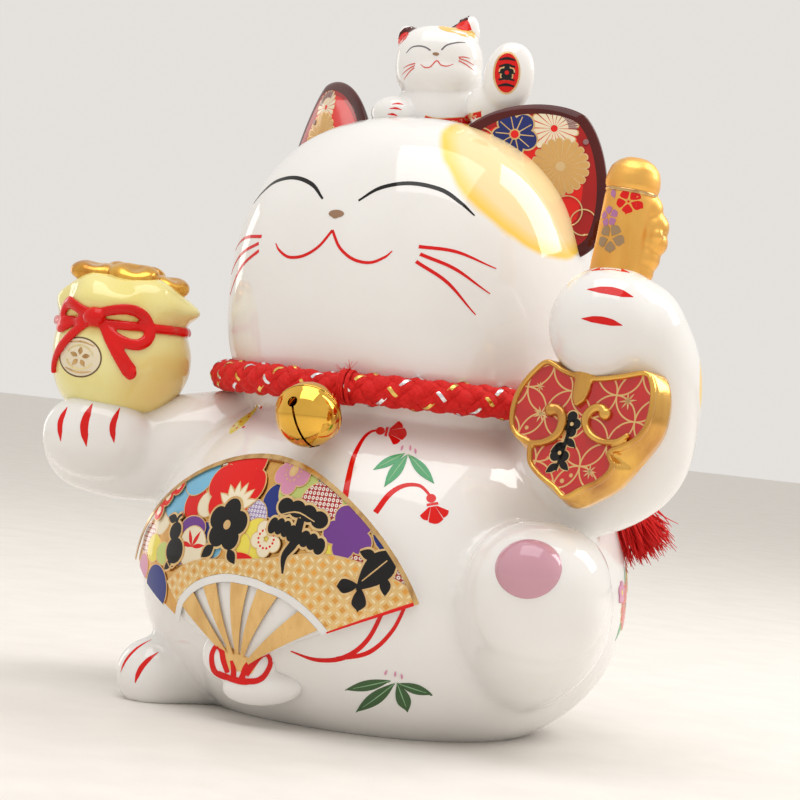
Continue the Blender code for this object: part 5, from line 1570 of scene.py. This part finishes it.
def kitten():
    """The kitten on the head: one glazed piece with its face, ears, coin, bib and claws in enamel."""
    mesh = kitten_clay()
    tree = tree_of(mesh)
    put("kitten_glazed", mesh, "kitten", ("kitten_body", "kitten_arm_raised"))

    def art(name, centre, out, layers, slot="red_enamel", **more):
        enamel("kitten_" + name, canvas(tree, centre, out, turn=more.pop("turn", 0.0)), layers, slot, **more)

    grey = stroke([(-10.3, 1.3), (-8.6, 3.2), (-6.0, 3.8), (-3.6, 3.4), (-2.0, 2.5)], (0.2, 0.4, 0.5, 0.5, 0.55), 24)
    grey += stroke([(1.6, 3.0), (2.9, 4.6), (4.6, 5.5), (6.8, 6.2), (8.9, 6.5)], (0.55, 0.5, 0.5, 0.4, 0.15), 24)
    red = stroke([(-4.8, -2.3), (-3.4, -3.2), (-1.5, -3.0), (0.4, -0.7), (2.0, -2.0), (4.0, -2.2), (6.0, -1.3)],
                 (0.15, 0.35, 0.4, 0.4, 0.4, 0.35, 0.15), 36)
    for a, b in (((-6.7, -2.1), (-10.9, -3.7)), ((-6.8, -2.8), (-11.1, -5.7)), ((-6.9, -3.5), (-10.3, -7.3)),
                 ((7.4, 1.2), (10.9, 1.4)), ((7.5, 0.1), (12.4, -2.3)), ((7.6, 0.8), (12.2, -0.5))):
        red += stroke([a, ((a[0] + b[0]) / 2, (a[1] + b[1]) / 2 + 0.25), b], (0.4, 0.35, 0.12), 8)
    facing, view = aim(KITTEN_TURN), aim(VIEW_AZIMUTH)
    art("face", (4.5, -8.5, 218.5), facing,
        [("ink_grey", grey), ("ink_coral", red), ("ink_brown", [disc(-0.1, 1.5, 1.1, 0.55)])], cell=1.6, lift=0.04)
    art("ears", (KITTEN.x, KITTEN.y, 228), facing,
        [("ink_amber", [KITTEN_PATCH]), ("ear_red", KITTEN_RED), ("ear_dark", KITTEN_DARK)], "red_ear_glaze",
        cell=1.2, lift=0.04)
    bars = [quad for level in (-4.4, -2.4, -0.2, 2.0, 4.2)
            for quad in stroke([(-2.6, level), (0, level + 0.5), (2.6, level)], (0.5, 1.0, 0.5), 10)]
    art("coin", (26.1, 1.7, 215.3), view, [
        ("ink_gold", [disc(0, 0, 4.5, 7.1)]), ("ink_red", [disc(0, 0, 3.9, 6.5)]),
        ("ink_gold", blossom(0, 0, 2.5, grow=0.25)), ("ink_black", bars + blossom(0, 0, 2.3)),
        ("ink_red", [disc(0, 0, 0.7)]),
    ], cell=1.4, turn=3)
    band = stroke([(-4.8, -1.6), (-1.0, -2.2), (4.4, -1.6), (13.6, 0.6)], (2.2, 2.2, 2.3, 1.9), 24)
    dots = [disc(x, y, 0.22, count=8) for x, y in ((-3.4, -1.6), (-1.6, -2.6), (0.2, -1.7), (2.0, -2.3), (6.0, -1.4),
                                                   (7.4, -0.6), (12.0, 0.0))]
    dots += [leaf((10.0, -0.8), (10.0 + 2.0 * math.cos(t), -0.8 + 2.0 * math.sin(t)), 0.55)
             for t in np.radians((25, 58, 90, 122, 155))]
    dots += stroke([(-4.6, -0.5), (-1.0, -1.15), (4.4, -0.5), (13.6, 1.5)], (0.2, 0.2), 20)
    pendant = [disc(4.9, -2.6, 2.1, 1.3), disc(3.4, -3.2, 1.0), disc(4.9, -3.6, 1.0), disc(6.3, -3.1, 1.0)]
    art("band", (8, -8, 200.8), view + Vector((0, 0, 0.1)),
        [("ink_red", band), ("ink_gold", dots), ("ink_peach", pendant)], cell=1.6)
    nails = [quad for stations in ([(1.6, 1.6), (3.6, 2.0), (5.4, 1.8)], [(1.0, 0.0), (3.0, 0.2), (5.0, -0.2)],
                                   [(0.6, -1.8), (2.2, -1.8), (3.8, -2.2)])
             for quad in stroke(stations, (0.2, 0.75, 0.2), 10)]
    art("claws", (-9, -14, 201), view + Vector((0, 0, 0.2)), [("ink_red", nails)], cell=1.2)


# ---------------------------------------------------------------- enamels on the body


def face_marks(tree):
    """Closed eyes, nose, mouth and whiskers."""
    eye = ((42.4, 165.0), (38.0, 168.6), (31.5, 172.2), (22.0, 173.4), (13.0, 171.2), (6.8, 166.6))
    mouth = ((0, 156.6), (4.0, 151.2), (9.5, 147.9), (15.4, 147.2), (20.0, 149.2), (22.2, 151.4))
    whiskers = (((30.0, 153.5), (40.5, 153.0), (50.2, 149.2)), ((30.8, 151.2), (41.0, 147.6), (49.8, 141.2)),
                ((30.0, 148.8), (39.5, 143.2), (47.2, 134.2)))
    black, red = [], []
    for side in (-1, 1):
        black += stroke([(side * x, z) for x, z in eye], (0.35, 0.9, 1.25, 1.3, 1.3, 0.7), 40)
        red += stroke([(side * x, z) for x, z in mouth], (0.9, 0.95, 1.0, 0.95, 0.8, 0.35), 32)
        for whisker in whiskers:
            red += stroke([(side * x, z) for x, z in whisker], (1.1, 1.0, 0.3), 20)
    nose = [disc(0, 162.0, 2.9, 1.25), leaf((-2.2, 161.6), (2.2, 161.6), 2.4)]
    enamel("face_lines", canvas(tree, (0, -40, 0), (0, -1, 0), reach=60),
           [("ink_black", black), ("ink_red", red), ("ink_brown", nose)])


def sprig(ink, vein, fronds, dashes):
    """Layers of bamboo leaves with pale veins, and of three pink dashes above them."""
    layers = []
    for base, tip, width, *belly in fronds:
        end = tuple(a + 0.82 * (b - a) for a, b in zip(base, tip))
        layers += [(ink, [leaf(base, tip, width, belly=belly[0] if belly else 0.5)]),
                   (vein, stroke([base, end], (0.16, 0.32, 0.1), 8))]
    for x, y, lean in dashes:
        dash = [(x - 0.3 * lean, y + 0.9), (x, y), (x + 0.15 * lean, y - 0.8)]
        layers.append(("ink_pink", stroke(dash, (0.2, 0.75, 0.2), 8)))
    return layers


def tassel_flower(x, y, turn, size):
    """A red tassel bloom: a round knot, a neck band and a skirt split into lobes."""
    shapes = [disc(0, 2.7, 1.55, 1.45), [(-1.9, 0.3), (1.9, 0.3), (1.75, 1.15), (-1.75, 1.15)]]
    for a, b, reach in ((-60, -28, 5.3), (-25, 25, 5.9), (28, 60, 5.3)):
        skirt = [(1.5 * math.sin(math.radians(a)), -0.05)]
        for t in np.radians(np.linspace(a, b, 12)):
            lobe = 1 + 0.05 * math.cos(6 * (t - math.radians((a + b) / 2)))
            skirt.append((reach * lobe * math.sin(t), 0.4 - reach * lobe * math.cos(t)))
        shapes.append(skirt + [(1.5 * math.sin(math.radians(b)), -0.05)])
    return moved(shapes, x, y, turn, size)


def body_flowers(tree):
    """Tassel blooms on curved stems, bamboo leaves and the scattered motifs on the belly."""
    stems = stroke([(-12.4, -9.0), (-12.1, -3.0), (-11.3, 4.7), (-9.2, 11.4), (-7.2, 14.2), (-5.4, 15.0)],
                   (1.9, 1.8, 1.5, 1.1, 0.9, 0.8), 36)
    stems += stroke([(-2.6, -13.4), (1.0, -7.2), (5.1, -3.9), (9.6, -3.3), (12.4, -5.2), (13.6, -7.0)],
                    (1.8, 1.7, 1.4, 1.1, 0.9, 0.8), 36)
    blooms = tassel_flower(-1.5, 14.7, 86, 0.98) + tassel_flower(14.6, -9.6, 17, 0.98)
    light = sprig("leaf_green", "leaf_light",
                  (((4.4, 7.3), (-4.8, 0.6), 3.0), ((5.2, 6.9), (-0.8, -4.8), 3.6), ((5.4, 6.9), (14.2, -2.0), 3.4)),
                  ((3.2, 9.0, -1), (5.8, 9.2, 0.4), (7.5, 8.3, 1)))
    dark = sprig("leaf_dark", "leaf_light",
                 (((0.4, 2.9), (-13.0, -3.0), 3.8), ((1.8, 2.2), (-8.9, -11.0), 4.4),
                  ((2.4, 2.4), (6.9, -8.0), 4.4, 0.6), ((2.8, 2.2), (13.6, -0.8), 3.4)),
                 ((-1.4, 5.4, -1), (1.5, 5.3, 0.3), (3.6, 4.7, 1)))
    cords = stroke([(-16.6, -8.4), (-8.0, -9.9), (0.8, -7.9), (7.8, -1.3), (12.6, 10.5)],
                   (0.4, 1.3, 1.6, 1.4, 1.2), 40)
    cords += stroke([(-1.7, -8.7), (8.1, -5.5), (14.9, 2.0), (19.0, 12.5)], (1.3, 1.4, 1.2, 1.0), 34)
    dots = [disc(x, y, 0.5, 0.6, count=10) for x, y in ((-2.6, -4.4), (0.4, -6.2), (-0.8, -2.4), (0.6, 0.4),
                                                        (-1.0, 2.8), (3.6, -6.4), (2.8, 5.0))]
    petal = [("ink_yellow", [leaf((-0.4, -9.4), (-0.8, 7.6), 6.4, belly=0.28)]), ("ink_red", dots)]
    for name, centre, out, layers, cell in (
        ("belly_sprigs", (35, -60, 84), aim(31, 12), [("ink_red", stems), ("ink_red", blooms), *light], 2.6),
        ("foot_sprig", (41, -57, 18), aim(34, -12), dark, 2.6),
        ("belly_cords", (30, -68, 34), aim(24), [("ink_red", cords)], 2.6),
        ("shoulder_petal", (-32.4, -42.2, 94.5), aim(0, 40), petal, 2.0),
    ):
        enamel(name, canvas(tree, centre, out), layers, cell=cell)


def back_flowers(tree):
    """Chrysanthemums and leaves on the left hip and across the back."""
    layers = [
        ("leaf_green", [leaf((2, -2), (12, -9), 4.2), leaf((-2, -3), (-9, -11), 4.0), leaf((0, 3), (-3, 13), 3.8)]),
        ("leaf_light", stroke([(2, -2), (10, -7.6)], (0.2, 0.35), 6)
         + stroke([(-2, -3), (-7.6, -9.4)], (0.2, 0.35), 6)),
        ("ink_gold", daisy(0, 0, 8.2, 16, grow=0.35, fill=0.99)), ("ink_red", daisy(0, 0, 8.0, 16, fill=0.84)),
        ("ink_gold", [disc(0, 0, 1.9)]), ("ink_black", [disc(0, 0, 1.0)]),
        ("ink_gold", blossom(9, 8.6, 5.4, grow=0.35)), ("ink_yellow", blossom(9, 8.6, 5.3)),
        ("ink_red", [disc(9, 8.6, 1.2)]), ("ink_pink", blossom(-9.5, 4.6, 3.8)),
        ("ink_yellow", [disc(-9.5, 4.6, 0.9)]),
    ]
    for name, azimuth, height, turn, size in (("hip_flowers", 112, 46, 0, 1.0), ("back_flowers", 222, 62, 12, 1.25)):
        enamel(name, on_body(tree, azimuth, height, turn),
               [(ink, moved(shapes, scale=size)) for ink, shapes in layers], cell=2.6)


CLAWS = (  # piece, centre, azimuth and elevation, then each stroke's stations and width
    ("claws_lowered", (-84, -57, 86), (VIEW_AZIMUTH, 0), (
        (((-8.0, 6.0), (-9.5, 0.8), (-8.7, -5.3)), 1.9), (((0.2, 8.0), (-1.3, 1.0), (0.1, -6.1)), 2.8),
        (((9.2, 7.5), (7.9, 1.5), (8.9, -4.0)), 2.1))),
    ("claws_raised", (97, -50, 140), (32, 5), (
        (((-3.4, 10.9), (2.1, 12.2), (7.8, 11.2)), 1.6), (((-4.6, 4.2), (2.6, 4.1), (9.0, 3.0)), 2.6),
        (((-5.6, -4.9), (0.3, -5.1), (6.4, -6.0)), 2.3))),
    ("toes_resting", (-50, -62, 12), (0, 25), (
        (((-6.0, -4.2), (-4.1, 0.9), (-0.4, 9.0)), 1.3), (((0.6, -6.6), (2.0, -2.1), (4.8, 5.0)), 1.7))),
)


def claws(tree):
    """Red brush strokes between the toes."""
    for name, centre, out, strokes in CLAWS:
        shapes = [quad for stations, width in strokes
                  for quad in stroke(stations, (0.2, 0.8 * width, width, 0.85 * width, 0.2), 24)]
        enamel(name, canvas(tree, centre, aim(*out)), [("ink_red", shapes)], cell=1.8)


# ---------------------------------------------------------------- finishes


WHITE, WHITE_POOLED = (0.86, 0.845, 0.825), (0.83, 0.81, 0.785)
CALICO = (0.94, 0.62, 0.10)
INKS = dict(
    ink_black=(0.008, 0.007, 0.007), ink_grey=(0.16, 0.15, 0.16), ink_red=(0.74, 0.006, 0.004),
    ink_brown=(0.34, 0.20, 0.12), ribbon_red=(0.74, 0.006, 0.004), ear_red=(0.80, 0.016, 0.010),
    ear_red_deep=(0.40, 0.012, 0.010), ink_blue=(0.018, 0.028, 0.16), ink_cream=(0.86, 0.76, 0.56),
    ink_plum=(0.30, 0.16, 0.16), ink_ochre=(0.68, 0.40, 0.13), ink_umber=(0.16, 0.09, 0.04),
    ink_pink=(0.72, 0.30, 0.46), ink_green=(0.56, 0.64, 0.20), ink_sky=(0.20, 0.50, 0.72),
    ink_navy=(0.02, 0.035, 0.22), ink_purple=(0.17, 0.05, 0.28), ink_yellow=(0.84, 0.72, 0.10),
    ink_white=(0.86, 0.85, 0.83), ink_mauve=(0.46, 0.18, 0.36), ink_bronze=(0.36, 0.23, 0.12),
    ink_coral=(0.72, 0.10, 0.07), ink_amber=(0.90, 0.56, 0.16), ink_peach=(0.88, 0.60, 0.36),
    leaf_green=(0.08, 0.38, 0.16), leaf_dark=(0.06, 0.13, 0.05), leaf_light=(0.30, 0.56, 0.30),
)
GILTS = dict(  # gold, where it thins, and roughness
    rim_gold=((0.72, 0.47, 0.20), (0.42, 0.22, 0.07), 0.14), rib_gold=((0.82, 0.54, 0.22), (0.70, 0.42, 0.14), 0.3),
    fan_gold=((0.74, 0.42, 0.12), (0.60, 0.30, 0.07), 0.25), ink_gold=((0.83, 0.58, 0.28), (0.66, 0.38, 0.14), 0.3),
    ink_pale_gold=((0.86, 0.74, 0.40), (0.74, 0.56, 0.24), 0.3),
)
METALS = dict(
    gold_thread=("gold_tinsel", (0.90, 0.62, 0.16), 0.22), silver_thread=("silver_tinsel", (0.86, 0.87, 0.90), 0.2),
    brass=("bell_brass", (0.88, 0.50, 0.08), 0.07), steel=("pellet_steel", (0.56, 0.56, 0.57), 0.28),
)


def finishes():
    """Every material by the name that the pieces and layers use."""
    # the first patch here, on the head, has heart (0.80, 0.95): its pale middle is a painted highlight of glare; the
    # second has none
    calico_and_painted_glare = ((CALICO, (44, -9, 181), (32.4, 30, 28.8), 0.03, (0.80, 0.95)),
              (CALICO, (114, -10, 121.5), (8, 8, 9.5), 0.09, (0, 0.01)))
    honey = (((0.84, 0.62, 0.20), (BAG_AXIS[0] + 22, BAG_AXIS[1] - 6, 97), (9, 14, 11), 0.6, (0, 0.01)),
             ((0.80, 0.62, 0.16), (BAG_AXIS[0] + 8, BAG_AXIS[1] - 20, 121), (26, 14, 3.4), 0.6, (0, 0.01)))
    table = dict(
        white=glaze("white_glaze_fired", WHITE, 0.06, deeper=WHITE_POOLED, soft=0.06, patches=calico_and_painted_glare),
        kitten=glaze("kitten_glaze", WHITE, 0.08, deeper=WHITE_POOLED, soft=0.06),
        cream=glaze("cream_glaze_pooled", (0.88, 0.81, 0.36), 0.08, deeper=(0.80, 0.68, 0.19), patches=honey),
        ear_dark=glaze("ear_back_glaze", (0.085, 0.008, 0.006), 0.08, deeper=(0.05, 0.005, 0.005), coat=0.1),
        pink=glaze("sole_pink", (0.62, 0.33, 0.40), 0.1, deeper=(0.57, 0.29, 0.36)),
        gold=lustre("gold_lustre_brushed", (0.80, 0.46, 0.10), (0.44, 0.17, 0.03), 0.17, 60),
        satin_gold=lustre("satin_gold_brushed", (0.90, 0.49, 0.11), (0.76, 0.34, 0.05), 0.34, 90),
        coin_gold=lustre("coin_lustre", (0.84, 0.46, 0.07), (0.50, 0.18, 0.02), 0.2, 180),
        yarn=yarn("red_floss", (0.86, 0.012, 0.010)),
        rubber=glaze("stopper_soft", (0.62, 0.60, 0.54), 0.55, coat=0.0),
        shippo_orange=shippo("shippo_orange", (0.80, 0.36, 0.04), (0.78, 0.54, 0.22), 5.2, 0.45,
                             petal=(0.86, 0.72, 0.42)),
        shippo_red=shippo("shippo_red", (0.58, 0.008, 0.006), (0.78, 0.50, 0.19), 15.0, 0.36),
        dots_red=spotted("dots_red", (0.42, 0.012, 0.01), (0.86, 0.80, 0.72), 1.5),
        dots_lilac=spotted("dots_lilac", (0.36, 0.26, 0.50), (0.78, 0.74, 0.80), 1.3),
    )
    table.update({name: metal(*recipe) for name, recipe in METALS.items()})
    table.update({name: lustre(name, *recipe, 300) for name, recipe in GILTS.items()})
    table.update({name: glaze(name, rgb, coat=0.1) for name, rgb in INKS.items()})
    return table


MATERIALS = finishes()


def stopper():
    """The rubber stopper, under the middle of the base."""
    mesh = turned(((0, 13), (10.6, 13), (12.2, 11.4), (12.8, 10.2), (13, 9.5), (13, 4.7), (15.7, 4.7), (16, 4.4),
                   (16, 3.4), (15.8, 3.2), (4.5, 3.1), (3.6, 1.2), (3.2, 1.0), (0, 1.0)))
    put("base_stopper_moulded", mesh, "rubber", ("base_stopper",), "stopper", sharp=30)


def main():
    bpy.context.scene.view_settings.view_transform = "Standard"
    add_camera()
    cord_ends()
    add_studio()
    body = body_glazed()
    boss = fan_boss()
    tree, foot_tree = tree_of(body), tree_of(body, boss)
    put("cat_glazed", body, "white", ("body_shell", "arm_left_raised", "arm_right_lowered", "foot_left_raised",
                                      "foot_right_resting", "tail"), sharp=50)
    put("sole_pad_enamel", sole_form(), "pink", ("sole_pad_left",))
    for side in EARS:
        ear(side)
    for paint in (face_marks, claws, body_flowers, back_flowers):
        paint(tree)
    fan_panel()
    fan_art()
    fan_bow(boss, foot_tree)
    bag_ribbon(bag())
    for build in (bag_coins, ruyi_head, ruyi_stem, kitten, collar, whipping, knot, bell, stopper):
        build()


main()
